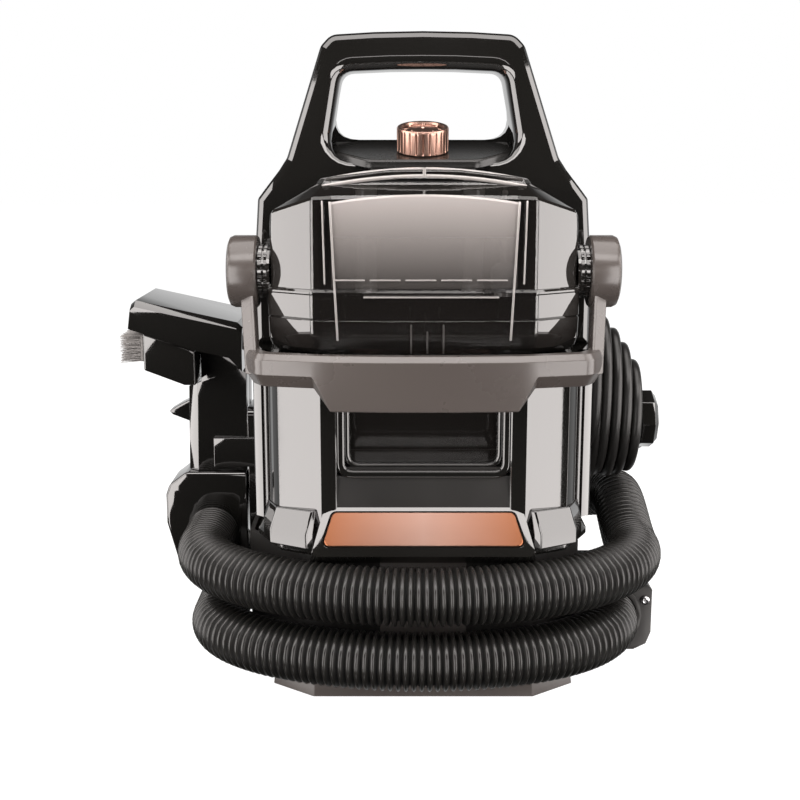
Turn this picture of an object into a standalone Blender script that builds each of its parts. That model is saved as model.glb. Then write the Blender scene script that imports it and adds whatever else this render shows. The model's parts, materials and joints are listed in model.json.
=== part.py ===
"""Portable spot extractor: a carpet spot cleaner with a lift-off dirty tank, hose, hand tool and cord wrap.

Metres, +Z up. The machine stands on Z = 0, its front faces -Y, and X = 0 is its plane of symmetry.
"""
import math

import bmesh
import bpy
from mathutils import Matrix, Vector

# Clearances and walls
GAP = 0.0003
WALL = 0.0025
SPINE_WALL = 0.0030
SHELF_WALL = 0.0028

# Base and lower housing
BASE_TOP = 0.008
BASE_FLOOR = 0.006
BASE_FRONT = -0.110
BASE_BACK = 0.112
WAIST_FRONT = -0.095
WAIST_BACK = 0.094
FOOT_RADIUS = 0.009
FOOT_HEIGHT = 0.0015
BODY_WIDTH = 0.208
BODY_FRONT = -0.095
BODY_BACK = 0.108
SHELL_BOTTOM = 0.086
SHELF_HEIGHT = 0.138
COLUMN_TOP = 0.205
POCKET_WIDTH = 0.103
POCKET_BACK = -0.045
BUMPER_FRONT = -0.1065
BUMPER_EDGE = 0.092
BUMPER_TOP = 0.112
BUMPER_SETBACK = 0.012

# Spine and handle
SPINE_FRONT = -0.042
SPINE_BACK = 0.034
SHOULDER_HEIGHT = 0.294
SHOULDER_SETBACK = 0.003
TAPER_HEIGHT = 0.300
HANDLE_HEIGHT = 0.395
HANDLE_DEPTH = 0.036
HANDLE_TOP_WIDTH = 0.116
HANDLE_BAR = 0.024
NECK_WIDTH = 0.167
OPENING_WIDTH = 0.117
OPENING_BOTTOM = 0.3295

# Control deck and knob
DECK_TILT = math.radians(13.5)
DECK_FRONT = -0.0465
DECK_BACK = -0.008
DECK_FRONT_HEIGHT = 0.317
DECK_THICKNESS = 0.004
LIP_BOTTOM = 0.3085
KNOB_DIAMETER = 0.032
KNOB_HEIGHT = 0.0152
KNOB_FLUTES = 20
KNOB_Y = -0.024
SHAFT_RADIUS = 0.003
SWITCH_SIZE = 0.022

# Dirty tank, lid and float
TANK_BACK = -0.0472
TANK_FRONT = -0.098
TANK_SIDE_LENGTH = 0.025
TANK_SHOULDER = 0.286
TANK_TOP = 0.305
WINDOW_WIDTH = 0.127
LID_WIDTH = 0.124
LID_HEIGHT = 0.0065
GASKET_HEIGHT = 0.0009
TRUNK_FRONT = -0.086
DUCT_RADIUS = 0.007
DUCT_BOTTOM = 0.240
DUCT_SPACING = 0.064
FLOAT_RADIUS = 0.008
FLOAT_HEIGHT = 0.016
GUIDE_RADIUS = 0.002
FLOAT_Y = -0.068

# Bail
BAIL_HEIGHT = 0.2523
BAIL_DISC_RADIUS = 0.0215
BAIL_DISC_WIDTH = 0.0175
BAIL_BAR = 0.008
BAIL_FRONT = -0.1235
BAIL_TOP = 0.210
BAIL_SIDE_BOTTOM = 0.192
BAIL_BOTTOM = 0.178
BAIL_DEEP_WIDTH = 0.107
BOSS_RADIUS = 0.015
BOSS_LENGTH = 0.0062
PIN_RADIUS = 0.004

# Clean tank
CLEAN_BACK = 0.106
CLEAN_SHOULDER = 0.284
CLEAN_TOP = 0.302
NECK_RADIUS = 0.022
NECK_HEIGHT = 0.008
NECK_WALL = 0.004
CAP_HEIGHT = 0.013
VALVE_RADIUS = 0.0055
CLEAN_MIDDLE = 0.066

# Hose
HOSE_DIAMETER = 0.035
HOSE_WALL = 0.0055
RIB_DEPTH = 0.0022
HOSE_RIBS = 126
HOSE_TURN_GAP = 0.0055
HOSE_FRONT = -0.118
HOSE_BACK = 0.120
TURN_FRONT_CENTRE = -0.045
UPPER_FRONT_CENTRE = -0.025
TURN_BACK_CENTRE = 0.040
LOWER_REACH_RIGHT = 0.018
LOWER_REACH_LEFT = 0.027
UPPER_REACH_RIGHT = 0.035
UPPER_REACH_LEFT = 0.038
CLIMB_HEIGHT = 0.083
CLIMB_START = 0.33
OUTLET_CLEARANCE = 0.003
OUTLET_BOTTOM = 0.002
OUTLET_DEPTH = 0.072
TUNNEL_CLEARANCE = 0.0006
COLLAR_WALL = 0.0035

# Hand tool
CRADLE_DEPTH = 0.0135
TOOL_Y = 0.030
GRIP_DEPTH = 0.032
HEAD_WIDTH = 0.076
BRUSH_WIDTH = 0.072
GRIP_BOTTOM = 0.1083
TRIGGER_WIDTH = 0.014
TRIGGER_PIN_RADIUS = 0.0015
STRAND_LENGTH = 0.014
STRAND_COLUMNS = 50
STRAND_ROWS = 12
BUTTON_TRAVEL = 0.002

# Mains cord
CORD_DIAMETER = 0.0068
CORD_SPACING = 0.0007
CORD_TURNS = 4.5
CORD_CENTRE_Y = 0.010
CORD_CENTRE_Z = 0.167
CORD_HALF_HEIGHT = 0.053
CORD_HALF_DEPTH = 0.038
CORD_TAIL_DEPTH = 0.052
WINDING_DROP = 0.004
WINDING_ROUNDING = 0.00095
WINDING_TAPER = 0.0015
POST_RADIUS = 0.012
POST_HEIGHT = 0.1455
CAP_RADIUS = 0.0195

# Motor, pump and heater
MOTOR_RADIUS = 0.045
MOTOR_Y = 0.010
MOTOR_BOTTOM = 0.0116
MOTOR_TOP = 0.066
FAN_RADIUS = 0.044
HEATER_RADIUS = 0.018

HALF = BODY_WIDTH / 2
POCKET_HALF = POCKET_WIDTH / 2
WAIST_HALF = HALF - 0.008
SPLIT = GAP / 2
TOOL_BACK = -(HALF + CRADLE_DEPTH)
TANK_HALF = HALF - 0.012
BAIL_Y = SPINE_FRONT - BAIL_DISC_RADIUS - 0.001
DECK_SLOPE = math.tan(DECK_TILT)
KNOB_AXIS = Vector((0, -math.sin(DECK_TILT), math.cos(DECK_TILT)))
KNOB_BASE = Vector((0, KNOB_Y, DECK_FRONT_HEIGHT + (KNOB_Y - DECK_FRONT) * DECK_SLOPE))
HOSE_BORE = HOSE_DIAMETER - 2 * HOSE_WALL
CORD_PITCH = CORD_DIAMETER + CORD_SPACING
LOWER_TURN_Z = BASE_TOP + HOSE_DIAMETER / 2 + 0.0005
UPPER_TURN_Z = LOWER_TURN_Z + HOSE_DIAMETER + HOSE_TURN_GAP
OUTLET_TOP = UPPER_TURN_Z - HOSE_DIAMETER / 2 - OUTLET_CLEARANCE


def clear_scene():
    for item in list(bpy.data.objects):
        bpy.data.objects.remove(item, do_unlink=True)


def make_collection(name):
    collection = bpy.data.collections.new(name)
    bpy.context.scene.collection.children.link(collection)
    return collection


clear_scene()
PARTS = make_collection("spot_extractor")
CUTTERS = make_collection("cutters")


def make_material(name, colour, roughness, metallic=0.0, alpha=1.0):
    material = bpy.data.materials.new(name)
    material.use_nodes = True
    shader = material.node_tree.nodes["Principled BSDF"]
    shader.inputs["Base Color"].default_value = (*colour, 1.0)
    shader.inputs["Roughness"].default_value = roughness
    shader.inputs["Metallic"].default_value = metallic
    shader.inputs["Alpha"].default_value = alpha
    return material


GLOSS_BLACK = make_material("gloss_black", (0.012, 0.012, 0.011), 0.12)
SATIN_BLACK = make_material("satin_black", (0.020, 0.019, 0.018), 0.45)
WARM_GREY = make_material("warm_grey", (0.085, 0.072, 0.066), 0.42)
COPPER = make_material("copper", (0.72, 0.36, 0.22), 0.22, 1.0)
SMOKY_CLEAR = make_material("smoky_clear", (0.30, 0.28, 0.27), 0.05, 0.0, 0.45)
HOSE_BLACK = make_material("hose_black", (0.022, 0.021, 0.020), 0.40)
CORD_BLACK = make_material("cord_black", (0.030, 0.029, 0.028), 0.45)
RUBBER = make_material("rubber", (0.018, 0.018, 0.018), 0.75)
BRISTLE = make_material("bristle", (0.42, 0.40, 0.39), 0.60)
STEEL = make_material("steel", (0.62, 0.62, 0.63), 0.28, 1.0)
MOTOR_GREY = make_material("motor_grey", (0.25, 0.25, 0.26), 0.50)
BOARD_GREEN = make_material("board_green", (0.03, 0.14, 0.06), 0.50)


# Helpers that make one closed mesh each

def mesh_object(name, bm):
    mesh = bpy.data.meshes.new(name)
    bm.normal_update()
    bm.to_mesh(mesh)
    bm.free()
    return bpy.data.objects.new(name, mesh)


def block(name, x, y, z):
    """A box between two corners, given as (low, high) pairs."""
    bm = bmesh.new()
    bmesh.ops.create_cube(bm, size=1.0)
    size = [high - low for low, high in (x, y, z)]
    middle = [(low + high) / 2 for low, high in (x, y, z)]
    bmesh.ops.scale(bm, vec=size, verts=bm.verts)
    bmesh.ops.translate(bm, vec=middle, verts=bm.verts)
    return mesh_object(name, bm)


def rod(name, start, end, radius, sides=16, end_radius=None):
    """A round bar, or a taper, between two points."""
    start, end = Vector(start), Vector(end)
    far = radius if end_radius is None else end_radius
    bm = bmesh.new()
    bmesh.ops.create_cone(bm, cap_ends=True, segments=sides, radius1=radius, radius2=far,
                          depth=(end - start).length)
    turn = (end - start).to_track_quat("Z", "Y").to_matrix().to_4x4()
    bmesh.ops.transform(bm, matrix=Matrix.Translation((start + end) / 2) @ turn, verts=bm.verts)
    return mesh_object(name, bm)


def solid_from_curve(name, curve, place=Matrix.Identity(4)):
    """The closed mesh of a filled or bevelled curve."""
    guide = bpy.data.objects.new(name, curve)
    bpy.context.scene.collection.objects.link(guide)
    depsgraph = bpy.context.evaluated_depsgraph_get()
    mesh = bpy.data.meshes.new_from_object(guide.evaluated_get(depsgraph))
    bm = bmesh.new()
    bm.from_mesh(mesh)
    bpy.data.meshes.remove(mesh)
    bpy.data.objects.remove(guide)
    bpy.data.curves.remove(curve)
    bmesh.ops.remove_doubles(bm, verts=bm.verts, dist=1e-6)
    bmesh.ops.transform(bm, matrix=place, verts=bm.verts)
    bmesh.ops.recalc_face_normals(bm, faces=bm.faces)
    return mesh_object(name, bm)


PRISM_TURN = {
    "X": Matrix(((0, 0, 1), (1, 0, 0), (0, 1, 0))).to_4x4(),
    "Y": Matrix(((1, 0, 0), (0, 0, -1), (0, 1, 0))).to_4x4(),
    "Z": Matrix.Identity(4),
}


def flat_curve(name, outlines, thickness):
    curve = bpy.data.curves.new(name, "CURVE")
    curve.dimensions = "2D"
    curve.fill_mode = "BOTH"
    curve.extrude = thickness / 2
    for outline in outlines:
        spline = curve.splines.new("POLY")
        spline.points.add(len(outline) - 1)
        spline.use_cyclic_u = True
        for point, (u, v) in zip(spline.points, outline):
            point.co = (u, v, 0, 1)
    return curve


def prism(name, axis, low, high, *outlines):
    """Flat outlines, a rim and any holes in it, extruded along an axis.

    An outline holds (x, y) along Z, (x, z) along Y and (y, z) along X.
    """
    curve = flat_curve(name, outlines, high - low)
    turn = PRISM_TURN[axis]
    shift = Matrix.Translation({"X": (1, 0, 0), "Y": (0, 1, 0), "Z": (0, 0, 1)}[axis])
    shift.translation *= (low + high) / 2
    return solid_from_curve(name, curve, shift @ turn)


def loft(name, rings):
    """A closed skin over rings of points that run the same way round."""
    bm = bmesh.new()
    loops = [[bm.verts.new(point) for point in ring] for ring in rings]
    for lower, upper in zip(loops, loops[1:]):
        for i in range(len(lower)):
            j = (i + 1) % len(lower)
            bm.faces.new((lower[i], lower[j], upper[j], upper[i]))
    bm.faces.new(list(reversed(loops[0])))
    bm.faces.new(loops[-1])
    bmesh.ops.recalc_face_normals(bm, faces=bm.faces)
    return mesh_object(name, bm)


def tube(name, points, diameter, resolution, radii=None):
    """A tube with filled ends along a list of points."""
    curve = bpy.data.curves.new(name, "CURVE")
    curve.dimensions = "3D"
    curve.bevel_depth = diameter / 2
    curve.bevel_resolution = resolution
    curve.use_fill_caps = True
    spline = curve.splines.new("POLY")
    spline.points.add(len(points) - 1)
    for i, place in enumerate(points):
        spline.points[i].co = (*place, 1)
        spline.points[i].radius = 1.0 if radii is None else radii[i]
    return solid_from_curve(name, curve)


def turned(name, profile, place, sides=24):
    """A (radius, height) profile turned round Z, then moved to its place.

    The profile runs anticlockwise; it is closed unless it starts on the axis.
    """
    bm = bmesh.new()
    points = [bm.verts.new((radius, 0, height)) for radius, height in profile]
    closing = [] if profile[0][0] == 0.0 else points[:1]
    for first, second in zip(points, points[1:] + closing):
        bm.edges.new((first, second))
    obj = mesh_object(name, bm)
    screw = obj.modifiers.new("turn", "SCREW")
    screw.axis = "Z"
    screw.steps = sides
    screw.render_steps = sides
    screw.use_merge_vertices = True
    screw.merge_threshold = 1e-5
    screw.use_normal_calculate = True
    screw.use_normal_flip = True
    obj.location = place
    return obj


def both_sides(half):
    """A whole outline from its +X half, which runs from one end of the plane of symmetry to the other."""
    mirrored = [(-x, v) for x, v in reversed(half) if x > 1e-9]
    return half + mirrored


def at_height(outline, z):
    return [(x, y, z) for x, y in outline]


def inset(outline, distance):
    """An outline moved inwards by a distance, or outwards by a negative one."""
    count = len(outline)
    area = sum(outline[i][0] * outline[(i + 1) % count][1] - outline[(i + 1) % count][0] * outline[i][1]
               for i in range(count))
    side = 1 if area > 0 else -1
    lines = []
    for i in range(count):
        start = Vector(outline[i])
        along = (Vector(outline[(i + 1) % count]) - start).normalized()
        inward = Vector((-along.y, along.x)) * side
        lines.append((start + inward * distance, along))
    moved = []
    for i in range(count):
        (p, d), (q, e) = lines[i - 1], lines[i]
        cross = d.x * e.y - d.y * e.x
        if abs(cross) < 1e-6:
            moved.append((q.x, q.y))
            continue
        reach = ((q.x - p.x) * e.y - (q.y - p.y) * e.x) / cross
        moved.append((p.x + d.x * reach, p.y + d.y * reach))
    return moved


def mirror_x(outline):
    return [(-x, v) for x, v in outline]


def combine(target, operation, tools):
    for tool in tools:
        if tool.name not in CUTTERS.objects:
            CUTTERS.objects.link(tool)
        tool.hide_render = True
        tool.display_type = "WIRE"
        modifier = target.modifiers.new(operation.lower(), "BOOLEAN")
        modifier.operation = operation
        modifier.object = tool
    return target


def cut(target, *tools):
    return combine(target, "DIFFERENCE", tools)


def fuse(target, *tools):
    return combine(target, "UNION", tools)


def add(obj, material):
    """Take a finished piece into the model."""
    PARTS.objects.link(obj)
    obj.data.materials.clear()
    obj.data.materials.append(material)
    obj.data.shade_smooth()
    obj.data.set_sharp_from_angle(angle=math.radians(35))
    return obj


def joint_frame(name, place, pieces):
    """An empty on a joint's axis that carries the pieces that move there."""
    empty = bpy.data.objects.new(name, None)
    empty.location = place
    PARTS.objects.link(empty)
    for piece in pieces:
        piece.parent = empty
        piece.matrix_parent_inverse = Matrix.Translation(-Vector(place))
    return empty


# Base

def arc_points(reach, depth, centre_y, start, end, count):
    """Points on part of an ellipse in plan, by angle from +X, leaving out the first."""
    points = []
    for i in range(1, count + 1):
        angle = math.radians(start + (end - start) * i / count)
        points.append((reach * math.cos(angle), centre_y + depth * math.sin(angle)))
    return points


def waist_outline():
    """The wall inside the coiled hose, rounded at the front and back like the coil."""
    front = arc_points(WAIST_HALF, TURN_FRONT_CENTRE - WAIST_FRONT, TURN_FRONT_CENTRE, -90, 0, 6)
    back = arc_points(WAIST_HALF, WAIST_BACK - TURN_BACK_CENTRE, TURN_BACK_CENTRE, 0, 90, 6)
    return both_sides([(0, WAIST_FRONT), *front, (WAIST_HALF, TURN_BACK_CENTRE), *back[:-1], (0, WAIST_BACK)])


def make_base():
    flange_half = [(0, BASE_FRONT), (0.066, BASE_FRONT), (HALF - 0.012, BASE_FRONT + 0.0195),
                   (HALF - 0.012, BASE_BACK - 0.014), (HALF - 0.032, BASE_BACK), (0, BASE_BACK)]
    flange = both_sides(flange_half)
    pan = loft("base_pan", [at_height(flange, 0), at_height(inset(flange, 0.001), BASE_TOP)])
    waist = waist_outline()
    wall = prism("waist_wall", "Z", BASE_FLOOR - 0.002, SHELL_BOTTOM - GAP, waist)
    well = prism("base_well", "Z", BASE_FLOOR, SHELL_BOTTOM + 0.01, inset(waist, WALL))
    cut(fuse(pan, wall), well)
    spots = [(x, y) for y in (BASE_FRONT + 0.025, BASE_BACK - 0.020) for x in (-HALF + 0.034, HALF - 0.034)]
    for number, (x, y) in enumerate(spots, 1):
        foot = rod(f"base_foot_{number}", (x, y, 0), (x, y, FOOT_HEIGHT), FOOT_RADIUS, 12)
        add(foot, RUBBER)
        seat = rod(f"foot_seat_{number}", (x, y, -0.01), (x, y, FOOT_HEIGHT + GAP), FOOT_RADIUS + GAP, 12)
        cut(pan, seat)
    add(pan, SATIN_BLACK)


# Housing halves

def front_plan(back):
    half = [(HALF, back), (HALF, -0.058), (HALF - 0.017, -0.086), (POCKET_HALF + 0.0095, BODY_FRONT),
            (POCKET_HALF, BODY_FRONT + 0.003)]
    return both_sides(half)


def column_plan(back):
    return [(POCKET_HALF, back), (HALF, back), (HALF, -0.058), (HALF - 0.017, -0.086),
            (POCKET_HALF + 0.0095, BODY_FRONT), (POCKET_HALF, BODY_FRONT + 0.003)]


def rear_plan(front):
    half = [(HALF, front), (HALF, BODY_BACK - 0.030), (HALF - 0.020, BODY_BACK - 0.004), (0, BODY_BACK)]
    return both_sides(half)


def spine_outline(bottom):
    neck, top = NECK_WIDTH / 2, HANDLE_TOP_WIDTH / 2
    half = [(HALF, bottom), (HALF, BAIL_HEIGHT), (HALF - SHOULDER_SETBACK, SHOULDER_HEIGHT),
            (neck + 0.0045, SHOULDER_HEIGHT + 0.017), (neck, SHOULDER_HEIGHT + 0.024),
            (top + 0.005, HANDLE_HEIGHT - 0.010), (top, HANDLE_HEIGHT - 0.0025), (0, HANDLE_HEIGHT)]
    return both_sides(half)


def opening_outline(bottom, corner):
    half_width, top = OPENING_WIDTH / 2, HANDLE_HEIGHT - HANDLE_BAR
    half = [(half_width - corner, bottom), (half_width, bottom + corner * 0.72),
            (half_width - 0.0065, top - 0.0053), (half_width - 0.014, top)]
    return both_sides(half)


def handle_wedge(name, face, depth, side):
    """The space in front of the handle, or behind it, where the housing tapers to the grip's depth."""
    top = HANDLE_HEIGHT + 0.02
    outer = side * 0.12
    slope = (depth - face) / (HANDLE_HEIGHT - TAPER_HEIGHT)
    at_top = face + slope * (top - TAPER_HEIGHT)
    outline = [(outer, TAPER_HEIGHT), (face, TAPER_HEIGHT), (at_top, top), (outer, top)]
    return prism(name, "X", -0.2, 0.2, outline)


def spine_hollow(name, face, side):
    """The space inside one half of the spine and handle, open at the seam between the halves."""
    bottom = SHELL_BOTTOM - 0.005
    rim = inset(spine_outline(bottom - SPINE_WALL), SPINE_WALL)
    around = inset(opening_outline(LIP_BOTTOM, 0.002), -SPINE_WALL)
    inner = face - side * SPINE_WALL
    low, high = sorted((inner, -side * 0.01))
    hollow = prism(name, "Y", low, high, rim, around)
    return cut(hollow, handle_wedge(name + "_taper", inner, side * (HANDLE_DEPTH / 2 - SPINE_WALL), side))


def deck_top(y):
    return DECK_FRONT_HEIGHT + (y - DECK_FRONT) * DECK_SLOPE


def make_front_housing():
    housing = prism("front_housing", "Z", SHELL_BOTTOM, COLUMN_TOP, front_plan(-SPLIT))
    spine = prism("front_spine", "Y", SPINE_FRONT, -SPLIT, spine_outline(COLUMN_TOP - 0.010),
                  opening_outline(OPENING_BOTTOM, 0.016))
    cut(spine, handle_wedge("front_taper", SPINE_FRONT, -HANDLE_DEPTH / 2, -1))
    rim = [(0.066, BUMPER_FRONT), (HALF - 0.011, -0.084), (HALF - 0.002, -0.056), (HALF - 0.002, -0.050)]
    brow = [(0.056, BUMPER_FRONT + BUMPER_SETBACK), (HALF - 0.018, -0.0845), (HALF - 0.004, -0.056),
            (HALF - 0.004, -0.050)]
    ledge = [(0.054, BUMPER_FRONT + BUMPER_SETBACK + 0.004), (HALF - 0.020, -0.083), (HALF - 0.006, -0.055),
             (HALF - 0.006, -0.050)]
    bumper = loft("bumper", [at_height(both_sides(rim), SHELL_BOTTOM), at_height(both_sides(rim), BUMPER_EDGE),
                             at_height(both_sides(brow), BUMPER_TOP),
                             at_height(both_sides(ledge), BUMPER_TOP + 0.005)])
    pocket = block("tank_pocket", (-POCKET_HALF, POCKET_HALF), (-0.13, POCKET_BACK),
                   (SHELF_HEIGHT, COLUMN_TOP + 0.01))
    below_shelf = prism("front_below_shelf", "Z", SHELL_BOTTOM - 0.005, SHELF_HEIGHT - SHELF_WALL,
                        inset(front_plan(0.01), SHELF_WALL))
    column = inset(column_plan(0.01), WALL)
    columns = [prism(f"column_hollow_{side}", "Z", SHELF_HEIGHT - 0.01, COLUMN_TOP - WALL, outline)
               for side, outline in (("right", column), ("left", mirror_x(column)))]
    thickness = DECK_THICKNESS / math.cos(DECK_TILT) + GAP
    seat = [(-0.08, deck_top(-0.08) - thickness), (DECK_BACK, deck_top(DECK_BACK) - thickness),
            (DECK_BACK, OPENING_BOTTOM + 0.0015), (-0.08, OPENING_BOTTOM + 0.0015)]
    deck_seat = prism("deck_seat", "X", -OPENING_WIDTH / 2, OPENING_WIDTH / 2, seat)
    shaft_hole = rod("shaft_hole", KNOB_BASE + KNOB_AXIS * 0.01, KNOB_BASE - KNOB_AXIS * 0.024,
                     SHAFT_RADIUS + 0.0008, 12)
    fuse(housing, spine, bumper)
    cut(housing, pocket, below_shelf, *columns, spine_hollow("front_hollow", SPINE_FRONT, -1), deck_seat,
        shaft_hole)
    add(housing, GLOSS_BLACK)


def make_rear_housing():
    housing = prism("rear_housing", "Z", SHELL_BOTTOM, SHELF_HEIGHT, rear_plan(SPLIT))
    spine = prism("rear_spine", "Y", SPLIT, SPINE_BACK, spine_outline(SHELF_HEIGHT - 0.010),
                  opening_outline(OPENING_BOTTOM, 0.016))
    cut(spine, handle_wedge("rear_taper", SPINE_BACK, HANDLE_DEPTH / 2, 1))
    below_shelf = prism("rear_below_shelf", "Z", SHELL_BOTTOM - 0.005, SHELF_HEIGHT - SHELF_WALL,
                        inset(rear_plan(-0.01), SHELF_WALL))
    valve_hole = rod("valve_hole", (0, CLEAN_MIDDLE, SHELF_HEIGHT - 0.01), (0, CLEAN_MIDDLE, SHELF_HEIGHT + 0.01),
                     VALVE_RADIUS + 0.0015, 12)
    fuse(housing, spine)
    cut(housing, below_shelf, spine_hollow("rear_hollow", SPINE_BACK, 1), valve_hole)
    add(housing, GLOSS_BLACK)


def make_badge():
    thickness = 0.001
    up = Vector((0, BUMPER_SETBACK, BUMPER_TOP - BUMPER_EDGE)).normalized()
    outward = Vector((1, 0, 0)).cross(up)
    middle = Vector((0, BUMPER_FRONT + BUMPER_SETBACK / 2, (BUMPER_EDGE + BUMPER_TOP) / 2))
    middle += outward * (GAP + thickness / 2)
    place = Matrix.Translation(middle) @ Matrix((Vector((1, 0, 0)), up, outward)).transposed().to_4x4()
    half = [(0.0585, -0.0100), (0.0612, -0.0075), (0.0553, 0.0080), (0.0525, 0.0103)]
    curve = flat_curve("front_badge", [both_sides(half)], thickness)
    add(solid_from_curve("front_badge", curve, place), COPPER)


# Control deck, knob and switch

def make_deck():
    drop = DECK_THICKNESS / math.cos(DECK_TILT)
    back = DECK_BACK - GAP
    lip = SPINE_FRONT - GAP
    outline = [(DECK_FRONT, LIP_BOTTOM), (DECK_FRONT, DECK_FRONT_HEIGHT), (back, deck_top(back)),
               (back, deck_top(back) - drop), (lip, deck_top(lip) - drop), (lip, LIP_BOTTOM)]
    half = OPENING_WIDTH / 2 - GAP
    deck = prism("control_deck", "X", -half, half, outline)
    hole = rod("deck_hole", KNOB_BASE + KNOB_AXIS * 0.01, KNOB_BASE - KNOB_AXIS * 0.01, SHAFT_RADIUS + 0.0008, 12)
    add(cut(deck, hole), GLOSS_BLACK)


def make_knob():
    radius = KNOB_DIAMETER / 2
    rim = []
    for i in range(2 * KNOB_FLUTES):
        angle = math.pi * i / KNOB_FLUTES
        reach = radius if i % 2 else radius - 0.0009
        rim.append((reach * math.cos(angle), reach * math.sin(angle)))
    turn = KNOB_AXIS.to_track_quat("Z", "Y").to_matrix().to_4x4()
    lift = Matrix.Translation(KNOB_BASE) @ turn
    lift = lift @ Matrix.Translation((0, 0, 0.0005 + KNOB_HEIGHT / 2))
    knob = solid_from_curve("mode_knob", flat_curve("mode_knob", [rim], KNOB_HEIGHT), lift)
    top = KNOB_BASE + KNOB_AXIS * (KNOB_HEIGHT + 0.0005)
    dish = rod("knob_dish", top - KNOB_AXIS * 0.0015, top + KNOB_AXIS * 0.01, radius - 0.0025, 24)
    socket = rod("knob_socket", KNOB_BASE - KNOB_AXIS * 0.01, KNOB_BASE + KNOB_AXIS * 0.0075,
                 SHAFT_RADIUS + GAP, 12)
    add(cut(knob, dish, socket), COPPER)
    half = SWITCH_SIZE / 2
    roof = LIP_BOTTOM - SPINE_WALL - GAP
    depth = (KNOB_BASE.z + half * math.sin(DECK_TILT) - roof) / math.cos(DECK_TILT)
    shaft = rod("knob_shaft", KNOB_BASE + KNOB_AXIS * 0.007, KNOB_BASE - KNOB_AXIS * (depth - GAP), SHAFT_RADIUS, 12)
    add(shaft, STEEL)
    joint_frame("mode_knob_axis", KNOB_BASE, [knob, shaft])
    switch = block("rotary_switch", (-half, half), (-half, half), (-0.0165, 0))
    switch.data.transform(Matrix.Translation(KNOB_BASE - KNOB_AXIS * depth) @ turn)
    add(switch, MOTOR_GREY)


# Dirty tank, lid, ducts and float

def tank_plan():
    side_front = TANK_BACK - TANK_SIDE_LENGTH
    return [(TANK_HALF, TANK_BACK), (TANK_HALF, side_front), (WINDOW_WIDTH / 2, TANK_FRONT + 0.002),
            (0.020, TANK_FRONT)]


def lid_plan():
    half = LID_WIDTH / 2
    return [(half, TANK_BACK), (half, TANK_BACK - 0.028), (half - 0.005, TANK_BACK - 0.034),
            (0.020, TANK_BACK - 0.036)]


def tank_rings(bottom, top, wall):
    plan = inset(both_sides(tank_plan()), wall)
    mouth = inset(both_sides(lid_plan()), wall)
    front = TANK_FRONT + 0.01
    shoulder = [(x, y, TANK_SHOULDER + 0.013 if y < front else TANK_SHOULDER) for x, y in plan]
    return [at_height(plan, bottom), shoulder, at_height(mouth, TANK_TOP), at_height(mouth, top)]


def make_dirty_tank():
    rest = COLUMN_TOP + GAP
    rings = tank_rings(rest, TANK_TOP, 0)
    tank = loft("dirty_tank", rings[:3])
    trunk_half = POCKET_HALF - 0.001
    trunk = block("tank_trunk", (-trunk_half, trunk_half), (TRUNK_FRONT, TANK_BACK),
                  (SHELF_HEIGHT + GAP, rest + 0.002))
    space = loft("tank_space", tank_rings(rest + WALL, TANK_TOP + 0.01, WALL))
    trunk_space = block("trunk_space", (-trunk_half + WALL, trunk_half - WALL),
                        (TRUNK_FRONT + WALL, TANK_BACK - WALL), (SHELF_HEIGHT + GAP + WALL, rest + 0.010))
    fuse(tank, trunk)
    cut(tank, space, trunk_space)
    pivot = (BAIL_Y, BAIL_HEIGHT)
    boss_end = TANK_HALF + BOSS_LENGTH
    for side, sign in (("left", -1), ("right", 1)):
        boss = rod(f"boss_{side}", (sign * (TANK_HALF - 0.008), *pivot), (sign * boss_end, *pivot), BOSS_RADIUS, 16)
        hole = rod(f"boss_hole_{side}", (sign * (boss_end - 0.0067), *pivot), (sign * (boss_end + 0.01), *pivot),
                   PIN_RADIUS + GAP, 12)
        fuse(tank, boss)
        cut(tank, hole)
    add(tank, SMOKY_CLEAR)
    pins = []
    for side, sign in (("left", -1), ("right", 1)):
        pin = rod(f"bail_pin_{side}", (sign * (boss_end - 0.0064), *pivot),
                  (sign * (boss_end + BAIL_DISC_WIDTH), *pivot), PIN_RADIUS, 12)
        pins.append(add(pin, STEEL))
    joint_frame("dirty_tank_rest", (0, TANK_BACK, SHELF_HEIGHT), [tank, *pins])


def hollow_post(name, x, y, low, high, radius, wall):
    post = rod(name, (x, y, low), (x, y, high), radius, 12)
    bore = rod(name + "_bore", (x, y, low - 0.01), (x, y, high + 0.01), radius - wall, 12)
    return cut(post, bore)


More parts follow.
